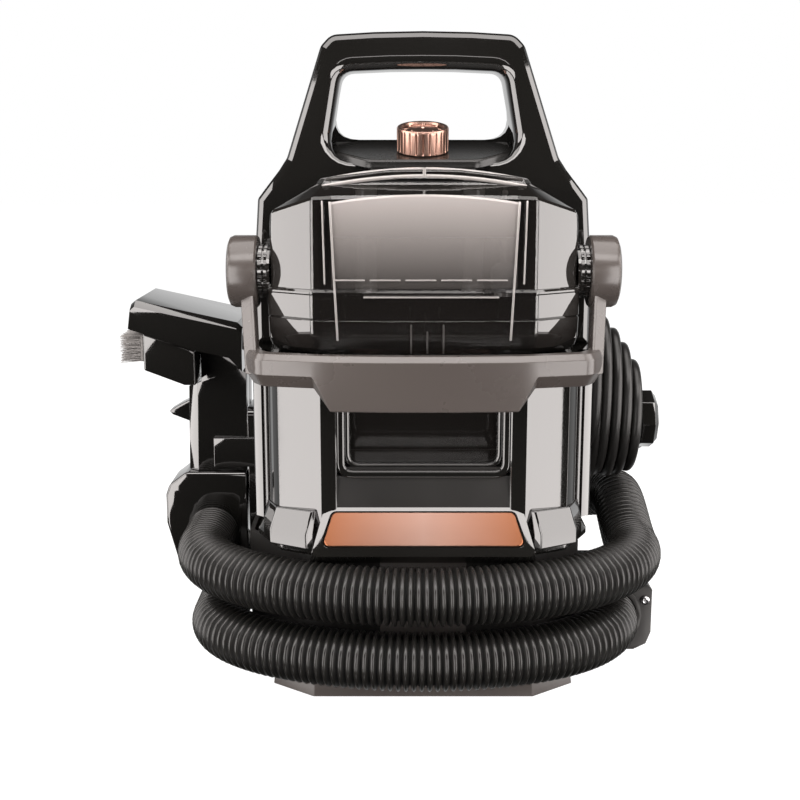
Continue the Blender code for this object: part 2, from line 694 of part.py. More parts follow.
def make_tank_lid():
    plan = both_sides(lid_plan())
    gasket_low = TANK_TOP + GAP
    gasket = prism("tank_gasket", "Z", gasket_low, gasket_low + GASKET_HEIGHT, plan, inset(plan, WALL))
    lid_low = gasket_low + GASKET_HEIGHT + GAP
    lid_top = lid_low + LID_HEIGHT
    lid = loft("tank_lid", [at_height(plan, lid_low), at_height(plan, lid_top - 0.002),
                            at_height(inset(plan, 0.002), lid_top)])
    posts = []
    middle = TANK_BACK - 0.016
    for name, x in (("inlet_duct", -DUCT_SPACING / 2 - 0.002), ("outlet_duct", DUCT_SPACING / 2 - 0.002)):
        post = hollow_post(name, x, middle, DUCT_BOTTOM, lid_low - GAP, DUCT_RADIUS, 0.0015)
        posts.append(add(post, SMOKY_CLEAR))
    x = DUCT_SPACING / 2 + 0.016
    guide = rod("float_guide", (x, FLOAT_Y, DUCT_BOTTOM), (x, FLOAT_Y, lid_low - GAP), GUIDE_RADIUS, 10)
    stop = rod("float_stop", (x, FLOAT_Y, DUCT_BOTTOM - 0.002), (x, FLOAT_Y, DUCT_BOTTOM + 0.001),
               GUIDE_RADIUS * 3, 10)
    fuse(guide, stop)
    low = DUCT_BOTTOM + 0.001 + GAP
    floater = rod("tank_float", (x, FLOAT_Y, low), (x, FLOAT_Y, low + FLOAT_HEIGHT), FLOAT_RADIUS, 12)
    bore = rod("float_bore", (x, FLOAT_Y, low - 0.01), (x, FLOAT_Y, low + 0.05), GUIDE_RADIUS + GAP, 10)
    moving = [add(gasket, RUBBER), add(lid, SMOKY_CLEAR), *posts, add(guide, SMOKY_CLEAR)]
    joint_frame("tank_lid_rest", (0, middle, lid_low), moving)
    joint_frame("tank_float_rest", (x, FLOAT_Y, low), [add(cut(floater, bore), MOTOR_GREY)])


# Bail

def make_bail():
    corner = TANK_HALF + 0.012
    outer = [(corner, -0.088), (corner, -0.098), (corner - 0.008, -0.112), (0.054, BAIL_FRONT + 0.002),
             (0.020, BAIL_FRONT)]
    inner = [(corner - BAIL_BAR, -0.088), (corner - BAIL_BAR, -0.0945), (corner - 0.0145, -0.1045),
             (0.052, BAIL_FRONT + 0.010), (0.020, BAIL_FRONT + BAIL_BAR)]
    plan = outer + mirror_x(outer)[::-1] + mirror_x(inner) + inner[::-1]
    bail = prism("bail", "Z", BAIL_BOTTOM, BAIL_TOP, plan)
    deep = BAIL_DEEP_WIDTH / 2
    relief = [(deep, BAIL_BOTTOM - 0.01), (deep, BAIL_BOTTOM + 0.003), (deep + 0.009, BAIL_SIDE_BOTTOM - 0.002),
              (0.15, BAIL_SIDE_BOTTOM), (0.15, BAIL_BOTTOM - 0.01)]
    cut(bail, *[prism(f"bail_relief_{side}", "Y", -0.15, -0.05, outline)
                for side, outline in (("right", relief), ("left", mirror_x(relief)))])
    pivot = (BAIL_Y, BAIL_HEIGHT)
    near = TANK_HALF + BOSS_LENGTH + GAP
    for side, sign in (("left", -1), ("right", 1)):
        top = [(sign * x, BAIL_Y + y, BAIL_HEIGHT) for x, y in
               ((near + 0.003, -0.009), (near + 0.011, -0.009), (near + 0.011, 0.009), (near + 0.003, 0.009))]
        foot = [(sign * x, y, BAIL_TOP - 0.014) for x, y in
                ((corner - BAIL_BAR, -0.106), (corner - 0.0005, -0.106), (corner - 0.0005, -0.0885),
                 (corner - BAIL_BAR, -0.0885))]
        arm = loft(f"bail_arm_{side}", [foot, top])
        disc = rod(f"bail_disc_{side}", (sign * near, *pivot), (sign * (near + BAIL_DISC_WIDTH), *pivot),
                   BAIL_DISC_RADIUS, 24)
        fuse(bail, arm, disc)
    for side, sign in (("left", -1), ("right", 1)):
        hole = rod(f"bail_hole_{side}", (sign * (near - 0.002), *pivot),
                   (sign * (near + BAIL_DISC_WIDTH + 0.002), *pivot), PIN_RADIUS + GAP, 12)
        cut(bail, hole)
    add(bail, WARM_GREY)
    joint_frame("bail_axis", (0, *pivot), [bail])


# Clean tank

def clean_plan():
    front = SPINE_BACK + GAP
    half = HALF - 0.008
    return [(half, front), (half, CLEAN_BACK - 0.022), (half - 0.022, CLEAN_BACK - 0.002), (0.020, CLEAN_BACK)]


def clean_roof():
    front = SPINE_BACK + GAP
    half = HALF - 0.034
    return [(half, front), (half, CLEAN_BACK - 0.026), (half - 0.014, CLEAN_BACK - 0.012),
            (0.020, CLEAN_BACK - 0.010)]


def make_clean_tank():
    low = SHELF_HEIGHT + GAP
    plan, roof = both_sides(clean_plan()), both_sides(clean_roof())
    centre = (0, CLEAN_MIDDLE)
    tank = loft("clean_tank", [at_height(plan, low), at_height(plan, CLEAN_SHOULDER)])
    space = loft("clean_space", [at_height(inset(plan, WALL), low + WALL),
                                 at_height(inset(plan, WALL), CLEAN_SHOULDER + 0.01)])
    drain = rod("clean_drain", (*centre, low - 0.01), (*centre, low + 0.01), VALVE_RADIUS + GAP, 12)
    add(cut(tank, space, drain), SMOKY_CLEAR)
    seam = CLEAN_SHOULDER + GAP
    top = loft("clean_tank_top", [at_height(plan, seam), at_height(roof, CLEAN_TOP)])
    inner_plan, inner_roof = inset(plan, WALL), inset(roof, WALL)
    under = loft("clean_top_space", [at_height(inner_plan, seam - 0.01), at_height(inner_plan, seam),
                                     at_height(inner_roof, CLEAN_TOP - WALL)])
    neck_top = CLEAN_TOP + NECK_HEIGHT
    neck = rod("clean_neck", (*centre, CLEAN_TOP - 0.001), (*centre, neck_top), NECK_RADIUS, 24)
    mouth = rod("clean_mouth", (*centre, CLEAN_TOP - 0.02), (*centre, neck_top + 0.01), NECK_RADIUS - NECK_WALL, 24)
    add(cut(fuse(top, neck), under, mouth), SMOKY_CLEAR)
    stem = rod("tank_valve", (*centre, SHELF_HEIGHT - 0.006), (*centre, low + WALL + 0.004), VALVE_RADIUS, 12)
    head = rod("valve_head", (*centre, low + WALL + GAP), (*centre, low + WALL + 0.005), VALVE_RADIUS * 1.8, 12)
    valve = add(fuse(stem, head), RUBBER)
    joint_frame("clean_tank_rest", (0, CLEAN_MIDDLE, SHELF_HEIGHT), [tank, top, valve])
    inner, outer = NECK_RADIUS + GAP, NECK_RADIUS + 0.003
    cap_low, cap_top = CLEAN_TOP + 0.001, CLEAN_TOP + CAP_HEIGHT
    profile = [(0.0, neck_top + GAP), (inner, neck_top + GAP), (inner, cap_low), (outer, cap_low),
               (outer, cap_top), (0.0, cap_top)]
    cap = turned("clean_tank_cap", [(r, z - cap_low) for r, z in profile], (*centre, cap_low))
    add(cap, GLOSS_BLACK)


# Hose

def eased(low, high, share):
    """A value between two others, with a soft start and end."""
    share = max(0.0, share)
    return low + (high - low) * share * share * (3 - 2 * share)


def turn_points(reaches, heights, depth, centre_y, angles, count, climb_start=0.0):
    """Part of a turn, leaving out its first point, whose reach and height ease from one value to another."""
    points = []
    for i in range(1, count + 1):
        share = i / count
        angle = math.radians(angles[0] + (angles[1] - angles[0]) * share)
        reach = HALF + eased(*reaches, share)
        height = eased(*heights, (share - climb_start) / (1 - climb_start))
        points.append((reach * math.cos(angle), centre_y + depth * math.sin(angle), height))
    return points


def hose_route():
    """The hose's centre line: from its outlet once round low, up behind, and round the front to the hand tool."""
    points = [(HALF + LOWER_REACH_RIGHT, TURN_FRONT_CENTRE + HOSE_DIAMETER, LOWER_TURN_Z),
              (HALF + LOWER_REACH_RIGHT, TURN_FRONT_CENTRE, LOWER_TURN_Z)]
    points += turn_points((LOWER_REACH_RIGHT, LOWER_REACH_LEFT), (LOWER_TURN_Z, LOWER_TURN_Z),
                          TURN_FRONT_CENTRE - HOSE_FRONT, TURN_FRONT_CENTRE, (0, -180), 24)
    points.append((-HALF - LOWER_REACH_LEFT, TURN_BACK_CENTRE, LOWER_TURN_Z))
    points += turn_points((LOWER_REACH_LEFT, UPPER_REACH_RIGHT), (LOWER_TURN_Z, CLIMB_HEIGHT),
                          HOSE_BACK - TURN_BACK_CENTRE, TURN_BACK_CENTRE, (180, 0), 24, CLIMB_START)
    run_down = 8
    for i in range(1, run_down + 1):
        share = i / run_down
        y = TURN_BACK_CENTRE + (UPPER_FRONT_CENTRE - TURN_BACK_CENTRE) * share
        points.append((HALF + UPPER_REACH_RIGHT, y, eased(CLIMB_HEIGHT, UPPER_TURN_Z, share)))
    points += turn_points((UPPER_REACH_RIGHT, UPPER_REACH_LEFT), (UPPER_TURN_Z, UPPER_TURN_Z),
                          UPPER_FRONT_CENTRE - HOSE_FRONT, UPPER_FRONT_CENTRE, (0, -180), 26)
    points.append((-HALF - UPPER_REACH_LEFT, UPPER_FRONT_CENTRE + HOSE_DIAMETER, UPPER_TURN_Z))
    return [Vector(point) for point in points]


def even_points(route, count):
    """Points at equal steps along a route."""
    lengths = [0.0]
    for first, second in zip(route, route[1:]):
        lengths.append(lengths[-1] + (second - first).length)
    points, leg = [], 0
    for i in range(count):
        along = lengths[-1] * i / (count - 1)
        while leg < len(route) - 2 and lengths[leg + 1] < along:
            leg += 1
        share = (along - lengths[leg]) / (lengths[leg + 1] - lengths[leg])
        points.append(route[leg].lerp(route[leg + 1], share))
    return points


def route_length(route):
    return sum((second - first).length for first, second in zip(route, route[1:]))


def least_gap(points, diameter):
    """The least clear distance between stretches of a tube that aren't neighbours along it."""
    step = route_length(points) / (len(points) - 1)
    apart = int(3 * diameter / step) + 1
    nearest = min((points[i] - points[j]).length for i in range(len(points))
                  for j in range(i + apart, len(points)))
    return nearest - diameter


def make_hose():
    route = hose_route()
    ribs = even_points(route, 2 * HOSE_RIBS)
    valley = 1 - 2 * RIB_DEPTH / HOSE_DIAMETER
    radii = [1.0 if i % 2 else valley for i in range(len(ribs))]
    hose = tube("hose", ribs, HOSE_DIAMETER, 2, radii)
    bore_points = even_points(route, HOSE_RIBS // 2)
    first = bore_points[0] + (bore_points[0] - bore_points[1]).normalized() * 0.01
    last = bore_points[-1] + (bore_points[-1] - bore_points[-2]).normalized() * 0.01
    bore = tube("hose_bore", [first, *bore_points, last], HOSE_BORE, 1)
    add(cut(hose, bore), HOSE_BLACK)
    print("hose length", round(route_length(route), 4), "least gap", round(least_gap(ribs, HOSE_DIAMETER), 5))


def make_hose_outlet():
    """A housing beside the base that holds the hose's straight start in a tunnel."""
    hose_end, hose_turn = hose_route()[:2]
    x, z = hose_end.x, hose_end.z
    front = hose_turn.y + 0.003
    back = front + OUTLET_DEPTH
    near, far = WAIST_HALF + GAP, x + HOSE_DIAMETER / 2 + 0.0105
    outline = [(near, OUTLET_BOTTOM), (far - 0.011, OUTLET_BOTTOM), (far - 0.003, OUTLET_BOTTOM + 0.004),
               (far, OUTLET_BOTTOM + 0.012), (far, OUTLET_TOP - 0.003), (far - 0.003, OUTLET_TOP),
               (near, OUTLET_TOP)]
    outlet = prism("hose_outlet", "Y", front, back, outline)
    collar = rod("outlet_collar", (x, front - 0.0025, z), (x, front + 0.002, z), HOSE_DIAMETER / 2 + COLLAR_WALL, 20)
    tunnel = rod("outlet_tunnel", (x, front - 0.01, z), (x, hose_end.y + GAP, z),
                 HOSE_DIAMETER / 2 + TUNNEL_CLEARANCE, 20)
    bore = rod("outlet_bore", (x, front - 0.01, z), (x, back - 0.008, z), HOSE_BORE / 2, 16)
    add(cut(fuse(outlet, collar), tunnel, bore), SATIN_BLACK)
    head_radius = 0.003
    spots = [(far - 0.0045, OUTLET_TOP - 0.010), (near + 0.0045, OUTLET_BOTTOM + 0.0045)]
    for number, (head_x, head_z) in enumerate(spots, 1):
        head = rod(f"outlet_screw_{number}", (head_x, front - GAP - 0.002, head_z), (head_x, front - GAP, head_z),
                   head_radius, 10)
        add(head, STEEL)


# Hand tool

def tool_outline(points):
    """Side view of the hand tool, from (distance out from the cradle, height) to (x, z)."""
    return [(TOOL_BACK - out, z) for out, z in points]


def seam_height(out):
    """Height of the seam between the brush block and the nozzle cover above it."""
    return 0.1945 + (out - 0.0302) * 0.335


GRIP_SIDE = [(0.0408, GRIP_BOTTOM), (0.0005, GRIP_BOTTOM), (0.0, 0.180), (0.0085, 0.1893), (0.0270, 0.1935),
             (0.0302, 0.1939), (0.0302, 0.1705), (0.0395, 0.166)]
COVER_SIDE = [(0.0735, 0.2090), (0.0719, 0.2245), (0.0690, 0.2270), (0.0030, 0.2125), (-0.0002, 0.2095),
              (-0.0002, 0.1808), (0.0083, 0.1899), (0.0270, 0.1941), (0.0302, 0.1945)]
TRIGGER_SIDE = [(0.0185, 0.1755), (0.0262, 0.1755), (0.0262, 0.1665), (0.0360, 0.1575), (0.0463, 0.1527),
                (0.0540, 0.1480), (0.0520, 0.1455), (0.0410, 0.1412), (0.0340, 0.1412), (0.0250, 0.1560),
                (0.0185, 0.1680)]
TRIGGER_PIVOT = (0.0224, 0.1715)


def make_grip():
    outline = tool_outline(GRIP_SIDE)
    hollow_outline = inset(outline, WALL)
    half = GRIP_DEPTH / 2
    slot = block("trigger_slot", (TOOL_BACK - 0.046, TOOL_BACK - 0.036),
                 (TOOL_Y - TRIGGER_WIDTH / 2 - 0.0008, TOOL_Y + TRIGGER_WIDTH / 2 + 0.0008), (0.1370, 0.1610))
    for name, low, high, inner in (("grip_front", TOOL_Y - half, TOOL_Y - SPLIT, 1),
                                   ("grip_rear", TOOL_Y + SPLIT, TOOL_Y + half, -1)):
        shell = prism(name, "Y", low, high, outline)
        start, end = (low + WALL, high + 0.01) if inner > 0 else (low - 0.01, high - WALL)
        add(cut(shell, prism(name + "_hollow", "Y", start, end, hollow_outline), slot), GLOSS_BLACK)
    valve = rod("spray_valve", (TOOL_BACK - 0.010, TOOL_Y, GRIP_BOTTOM + WALL + GAP),
                (TOOL_BACK - 0.010, TOOL_Y, 0.178), 0.005, 12)
    add(valve, MOTOR_GREY)


def make_trigger():
    half = TRIGGER_WIDTH / 2
    trigger = prism("trigger", "Y", TOOL_Y - half, TOOL_Y + half, tool_outline(TRIGGER_SIDE))
    x, z = TOOL_BACK - TRIGGER_PIVOT[0], TRIGGER_PIVOT[1]
    hole = rod("trigger_hole", (x, TOOL_Y - 0.02, z), (x, TOOL_Y + 0.02, z), TRIGGER_PIN_RADIUS + GAP, 10)
    add(cut(trigger, hole), GLOSS_BLACK)
    reach = GRIP_DEPTH / 2 - WALL - GAP
    pin = rod("trigger_pin", (x, TOOL_Y - reach, z), (x, TOOL_Y + reach, z), TRIGGER_PIN_RADIUS, 10)
    add(pin, STEEL)
    joint_frame("trigger_axis", (x, TOOL_Y, z), [trigger])


def make_nozzle():
    half = HEAD_WIDTH / 2
    cover_outline = tool_outline(COVER_SIDE)
    cover = prism("nozzle_cover", "Y", TOOL_Y - half, TOOL_Y + half, cover_outline)
    inside = prism("nozzle_space", "Y", TOOL_Y - half + 0.002, TOOL_Y + half - 0.002, inset(cover_outline, 0.0035))
    mouth = block("nozzle_mouth", (TOOL_BACK - 0.09, TOOL_BACK - 0.060), (TOOL_Y - half + 0.004, TOOL_Y + half - 0.004),
                  (0.2125, 0.2205))
    button_y = (TOOL_Y - 0.007, TOOL_Y + 0.007)
    button_z = (0.190, 0.200)
    slot = block("button_slot", (TOOL_BACK - 0.010, TOOL_BACK + 0.01), (button_y[0] - GAP, button_y[1] + GAP),
                 (button_z[0] - GAP, button_z[1] + GAP))
    add(cut(cover, inside, mouth, slot), GLOSS_BLACK)
    button = block("release_button", (TOOL_BACK - 0.0030, TOOL_BACK + 0.0002 + BUTTON_TRAVEL), button_y, button_z)
    add(button, GLOSS_BLACK)
    left = 0.0645
    block_side = [(left, seam_height(left) - GAP), (left, 0.1813), (0.0382, 0.1713), (0.0308, 0.1713),
                  (0.0308, seam_height(0.0308) - GAP)]
    reach = BRUSH_WIDTH / 2
    brush = prism("brush_block", "Y", TOOL_Y - reach, TOOL_Y + reach, tool_outline(block_side))
    add(brush, GLOSS_BLACK)
    bristles = make_bristles(TOOL_BACK - left - GAP, reach - 0.002, 0.1870, 0.2045)
    joint_frame("nozzle_axis", (TOOL_BACK - 0.0302, TOOL_Y, 0.1945), [cover, brush, bristles])
    joint_frame("release_button_axis", (TOOL_BACK, TOOL_Y, 0.195), [button])


def make_bristles(x, reach, low, high):
    """Tapered four-sided strands, raised from every other cell of a backing strip's outer face."""
    backing = 0.0015
    bm = bmesh.new()
    bmesh.ops.create_grid(bm, x_segments=STRAND_COLUMNS, y_segments=STRAND_ROWS, size=0.5)
    bmesh.ops.transform(bm, matrix=Matrix(((0, 0, -1), (2 * reach, 0, 0), (0, high - low, 0))).to_4x4(),
                        verts=bm.verts)
    bmesh.ops.translate(bm, vec=(x - backing, TOOL_Y, (low + high) / 2), verts=bm.verts)
    cells = list(bm.faces)
    edge = bmesh.ops.extrude_face_region(bm, geom=cells)
    back = [item for item in edge["geom"] if isinstance(item, bmesh.types.BMVert)]
    bmesh.ops.translate(bm, vec=(backing, 0, 0), verts=back)
    faces = [item for item in edge["geom"] if isinstance(item, bmesh.types.BMFace)]
    bmesh.ops.dissolve_faces(bm, faces=faces)
    front = [face for face in bm.faces if all(vert.co.x < x - backing + 1e-6 for vert in face.verts)]
    pitch = 2 * reach / STRAND_COLUMNS
    chosen = []
    for face in front:
        middle = face.calc_center_median()
        column = int((middle.y - TOOL_Y + reach) / pitch)
        row = int((middle.z - low) / (high - low) * STRAND_ROWS)
        if (column + row) % 2 == 0:
            chosen.append(face)
    for face in bmesh.ops.extrude_discrete_faces(bm, faces=chosen)["faces"]:
        middle = face.calc_center_median()
        fan = (middle.y - TOOL_Y) * 0.03
        lean = math.sin(middle.y * 1900.0) * 0.0004
        tip = middle + Vector((-STRAND_LENGTH + abs(lean) * 2, fan + lean, 0))
        bmesh.ops.pointmerge(bm, verts=list(face.verts), merge_co=tip)
    bmesh.ops.recalc_face_normals(bm, faces=bm.faces)
    return add(mesh_object("brush_bristles", bm), BRISTLE)


def make_cuff():
    end = hose_route()[-1]
    face = end.y + GAP
    far = TOOL_Y + GRIP_DEPTH / 2 + 0.001
    low, high = end.z - HOSE_DIAMETER / 2 - 0.002, GRIP_BOTTOM - GAP
    outline = [(TOOL_BACK - 0.001, low), (TOOL_BACK - 0.001, high), (TOOL_BACK - 0.042, high),
               (TOOL_BACK - 0.054, high - 0.009), (TOOL_BACK - 0.0565, high - 0.016),
               (TOOL_BACK - 0.0565, high - 0.036), (TOOL_BACK - 0.050, low)]
    cuff = prism("hose_cuff", "Y", face, far, outline)
    bore = rod("cuff_bore", (end.x, face - 0.01, end.z), (end.x, far - 0.008, end.z), HOSE_BORE / 2, 16)
    add(cut(cuff, bore), GLOSS_BLACK)


def make_cradle():
    wall, inner = -(HALF + GAP), TOOL_BACK + GAP
    half = GRIP_DEPTH / 2 + GAP
    tip = TOOL_BACK - 0.0225
    outer = half + 0.0045
    outline = [(wall, TOOL_Y - outer), (tip, TOOL_Y - outer), (tip, TOOL_Y - half), (inner, TOOL_Y - half),
               (inner, TOOL_Y + half), (tip, TOOL_Y + half), (tip, TOOL_Y + outer), (wall, TOOL_Y + outer)]
    add(prism("tool_cradle", "Z", 0.112, 0.132, outline), GLOSS_BLACK)


# Mains cord

def winding_size(turn):
    """Half height, half depth and middle height of the winding after some turns: it narrows outwards."""
    height = CORD_HALF_HEIGHT - WINDING_ROUNDING * turn * turn
    depth = CORD_HALF_DEPTH - WINDING_TAPER * turn
    return height, depth, CORD_CENTRE_Z - WINDING_DROP * turn


WINDING_START_X = HALF + 0.009


def winding_route():
    """The outer layer of cord: from the strain relief, round the post, then down behind to the plug."""
    points = []
    per_turn = 24
    height, depth, middle = winding_size(0)
    bottom = middle - height - 0.006
    lead_start = CORD_CENTRE_Y + 0.0257
    for y in (lead_start, lead_start - CORD_DIAMETER, lead_start - 0.016):
        points.append((WINDING_START_X, y, bottom))
    total = CORD_TURNS + 0.25
    for i in range(int(total * per_turn) + 1):
        turn = i / per_turn
        height, depth, middle = winding_size(turn)
        sag = 0.006 * max(0.0, 1 - turn / 0.25) ** 2
        back = min(1.0, max(0.0, (turn - CORD_TURNS) / 0.25))
        depth += (CORD_TAIL_DEPTH - depth) * back * back * (3 - 2 * back)
        angle = 2 * math.pi * turn
        points.append((WINDING_START_X + CORD_PITCH * turn, CORD_CENTRE_Y - depth * math.sin(angle), middle - height * math.cos(angle) - sag))
    x, y, z = points[-1]
    points.append((x, y, z - CORD_DIAMETER))
    return [Vector(point) for point in points]


def core_ring(x):
    """A ring of the core under the winding, set in from it square to the slope at its top."""
    turn = (x - WINDING_START_X) / CORD_PITCH
    height, depth, centre = winding_size(turn)
    slope = (WINDING_DROP + 2 * WINDING_ROUNDING * max(turn, 0.0)) / CORD_PITCH
    clear = (CORD_DIAMETER / 2 + 0.0014) * math.hypot(1.0, slope)
    angles = [2 * math.pi * i / 24 for i in range(24)]
    return [(x, CORD_CENTRE_Y - (depth - clear) * math.sin(angle), centre - (height - clear) * math.cos(angle))
            for angle in angles]


def make_cord_wrap():
    middle = (CORD_CENTRE_Y, POST_HEIGHT)
    start = HALF + GAP
    core_end = WINDING_START_X + CORD_PITCH * CORD_TURNS - 0.001
    post = rod("cord_wrap_post", (start, *middle), (core_end, *middle), POST_RADIUS, 16)
    foot = rod("post_foot", (start, *middle), (start + 0.003, *middle), POST_RADIUS + 0.008, 16)
    add(fuse(post, foot), SATIN_BLACK)
    cap = rod("cord_wrap_cap", (core_end + GAP, *middle), (core_end + 0.009, *middle), CAP_RADIUS, 8)
    nose = rod("cap_nose", (core_end + 0.0085, *middle), (core_end + 0.0117, *middle), CAP_RADIUS, 8,
               CAP_RADIUS - 0.004)
    add(fuse(cap, nose), GLOSS_BLACK)
    core_start, steps = start + 0.0045, 5
    rings = [core_ring(core_start + (core_end - GAP - core_start) * i / steps) for i in range(steps + 1)]
    core = loft("cord_core", rings)
    bore = rod("core_bore", (start - 0.01, *middle), (core_end + 0.01, *middle), POST_RADIUS + GAP, 16)
    add(cut(core, bore), CORD_BLACK)


def make_cord():
    route = winding_route()
    add(tube("cord_winding", route, CORD_DIAMETER, 1), CORD_BLACK)
    print("cord layer length", round(route_length(route), 4),
          "least gap", round(least_gap(route, CORD_DIAMETER), 5))
    start = route[0]
    wall = HALF + GAP
    relief = rod("strain_relief", (start.x, start.y + 0.026, start.z), (start.x, start.y + GAP, start.z), 0.0065, 12,
                 0.0045)
    foot = block("relief_foot", (wall, start.x + 0.006), (start.y + 0.022, start.y + 0.034),
                 (start.z - 0.009, start.z + 0.009))
    add(fuse(relief, foot), RUBBER)
    end = route[-1]
    plug = rod("plug", (end.x, end.y, end.z - 0.027), (end.x, end.y, end.z - GAP), 0.0115, 12, 0.0075)
    for number, y in enumerate((end.y - 0.0063, end.y + 0.0063), 1):
        blade = block(f"plug_blade_{number}", (end.x - 0.0032, end.x + 0.0032), (y - 0.0008, y + 0.0008),
                      (end.z - 0.042, end.z - 0.026))
        fuse(plug, blade)
    add(plug, RUBBER)


# Motor, pump, heater and ducts

def make_motor():
    centre = (0, MOTOR_Y)
    mount = rod("motor_mount", (*centre, BASE_FLOOR + GAP), (*centre, MOTOR_BOTTOM - GAP), MOTOR_RADIUS + 0.001, 20)
    hole = rod("mount_hole", (*centre, BASE_FLOOR - 0.01), (*centre, MOTOR_BOTTOM + 0.01), MOTOR_RADIUS - 0.015, 20)
    add(cut(mount, hole), RUBBER)
    motor = rod("vacuum_motor", (*centre, MOTOR_BOTTOM), (*centre, MOTOR_TOP), MOTOR_RADIUS, 20)
    shaft_radius = 0.004
    shaft_bottom = MOTOR_TOP - 0.012
    bearing = rod("motor_bearing", (*centre, shaft_bottom), (*centre, MOTOR_TOP + 0.01), shaft_radius + GAP, 12)
    add(cut(motor, bearing), MOTOR_GREY)
    fan_low, fan_top = MOTOR_TOP + 0.0035, MOTOR_TOP + 0.0225
    shaft = rod("motor_shaft", (*centre, shaft_bottom + GAP), (*centre, fan_top + 0.001), shaft_radius, 12)
    blades = []
    for i in range(9):
        for offset, reach in ((0, 0.014), (10, FAN_RADIUS), (16, FAN_RADIUS), (14, 0.014)):
            angle = math.radians(40 * i + offset)
            blades.append((reach * math.cos(angle), MOTOR_Y + reach * math.sin(angle)))
    fan = prism("fan_impeller", "Z", fan_low, fan_top, blades)
    eye = rod("fan_eye", (*centre, fan_low - 0.01), (*centre, fan_top + 0.01), shaft_radius + GAP, 12)
    add(cut(fan, eye), MOTOR_GREY)
    add(shaft, STEEL)
    joint_frame("fan_axis", (*centre, MOTOR_TOP), [fan, shaft])
    low, top = MOTOR_TOP + GAP, MOTOR_TOP + 0.0265
    outer, wall = FAN_RADIUS + 0.0065, 0.002
    inlet = 0.0155
    profile = [(inlet, top - wall), (outer - wall, top - wall), (outer - wall, low + wall),
               (MOTOR_RADIUS - 0.005, low + wall), (MOTOR_RADIUS - 0.005, low), (outer, low), (outer, top),
               (inlet, top)]
    cover = turned("fan_cover", [(r, z - low) for r, z in profile], (*centre, low))
    add(cover, MOTOR_GREY)
    bottom = top + GAP
    path = [(0, MOTOR_Y, bottom), (0, MOTOR_Y, bottom + 0.012), (-0.008, MOTOR_Y - 0.004, bottom + 0.024),
            (-0.022, MOTOR_Y - 0.010, bottom + 0.040), (-0.030, MOTOR_Y - 0.014, bottom + 0.058),
            (-0.030, MOTOR_Y - 0.014, 0.260)]
    duct = tube("suction_duct", path, 0.036, 2)
    bore_path = [(0, MOTOR_Y, bottom - 0.01), *path[1:-1], (-0.030, MOTOR_Y - 0.014, 0.270)]
    add(cut(duct, tube("suction_bore", bore_path, 0.031, 2)), SATIN_BLACK)


def make_water_system():
    low = BASE_FLOOR + GAP
    pump = block("pump", (0.052, 0.090), (0.005, 0.050), (low, 0.042))
    add(pump, MOTOR_GREY)
    x, z = -0.070, low + HEATER_RADIUS
    heater = rod("heater", (x, -0.035, z), (x, 0.050, z), HEATER_RADIUS, 16)
    add(heater, STEEL)
    end = 0.050 + GAP
    path = [(0.070, end, z), (0.070, end + 0.010, z), (0.058, 0.0665, z), (0.030, 0.072, z), (-0.030, 0.072, z),
            (-0.058, 0.0665, z), (-0.070, end + 0.010, z), (-0.070, end, z)]
    add(tube("water_line", path, 0.006, 2), RUBBER)
    face = SPINE_BACK - SPINE_WALL - GAP
    board = block("control_board", (-0.040, 0.040), (face - 0.0016, face), (0.150, 0.205))
    add(board, BOARD_GREEN)


make_base()
make_front_housing()
make_rear_housing()
make_badge()
make_deck()
make_knob()
make_dirty_tank()
make_tank_lid()
make_bail()
make_clean_tank()
make_hose()
make_hose_outlet()
make_grip()
make_trigger()
make_nozzle()
make_cuff()
make_cradle()
make_cord_wrap()
make_cord()
make_motor()
make_water_system()
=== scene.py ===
"""Looks of a portable spot extractor: finishes, fine shapes, hose, cord, bristles, studio and camera.

Metres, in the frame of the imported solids: +Z up, the front faces -Y, and the machine stands on Z = 0.
"""
import json
import math
import random

import bmesh
import bpy
from mathutils import Matrix, Vector


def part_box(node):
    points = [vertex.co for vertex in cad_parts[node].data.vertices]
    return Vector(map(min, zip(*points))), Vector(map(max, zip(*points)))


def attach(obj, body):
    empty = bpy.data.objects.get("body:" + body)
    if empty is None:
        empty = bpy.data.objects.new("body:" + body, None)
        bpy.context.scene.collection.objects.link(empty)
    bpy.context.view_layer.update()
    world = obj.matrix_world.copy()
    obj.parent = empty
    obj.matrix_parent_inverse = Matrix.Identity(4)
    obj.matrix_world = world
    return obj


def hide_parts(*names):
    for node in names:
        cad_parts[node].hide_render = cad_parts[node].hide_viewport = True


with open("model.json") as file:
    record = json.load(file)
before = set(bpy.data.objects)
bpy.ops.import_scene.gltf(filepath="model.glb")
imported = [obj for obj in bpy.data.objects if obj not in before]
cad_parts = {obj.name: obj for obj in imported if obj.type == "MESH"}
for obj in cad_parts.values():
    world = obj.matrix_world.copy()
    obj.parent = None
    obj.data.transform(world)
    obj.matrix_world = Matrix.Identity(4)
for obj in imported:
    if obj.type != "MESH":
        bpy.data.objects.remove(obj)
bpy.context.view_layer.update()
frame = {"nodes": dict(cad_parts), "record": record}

# Driving sizes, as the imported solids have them
SIDES = (("left", -1), ("right", 1))
GAP = 0.0003
HALF = 0.104
POCKET_HALF = 0.0515
COLUMN_TOP = 0.205
COLUMN_BOTTOM = 0.1
COLUMN_EDGE = 0.0012
SHELL_BOTTOM = 0.086
SHELF_HEIGHT = 0.138
SPINE_FRONT = -0.042
SPINE_BACK = 0.034
TAPER_HEIGHT = 0.3
HANDLE_HEIGHT = 0.395
HANDLE_DEPTH = 0.036
OPENING_HALF = 0.0585
OPENING_BOTTOM = 0.3295
BUMPER_FRONT = -0.1065
BUMPER_EDGE = 0.092
BUMPER_TOP = 0.112
BUMPER_SETBACK = 0.012
DECK_TILT = math.radians(13.5)
DECK_FRONT = -0.0465
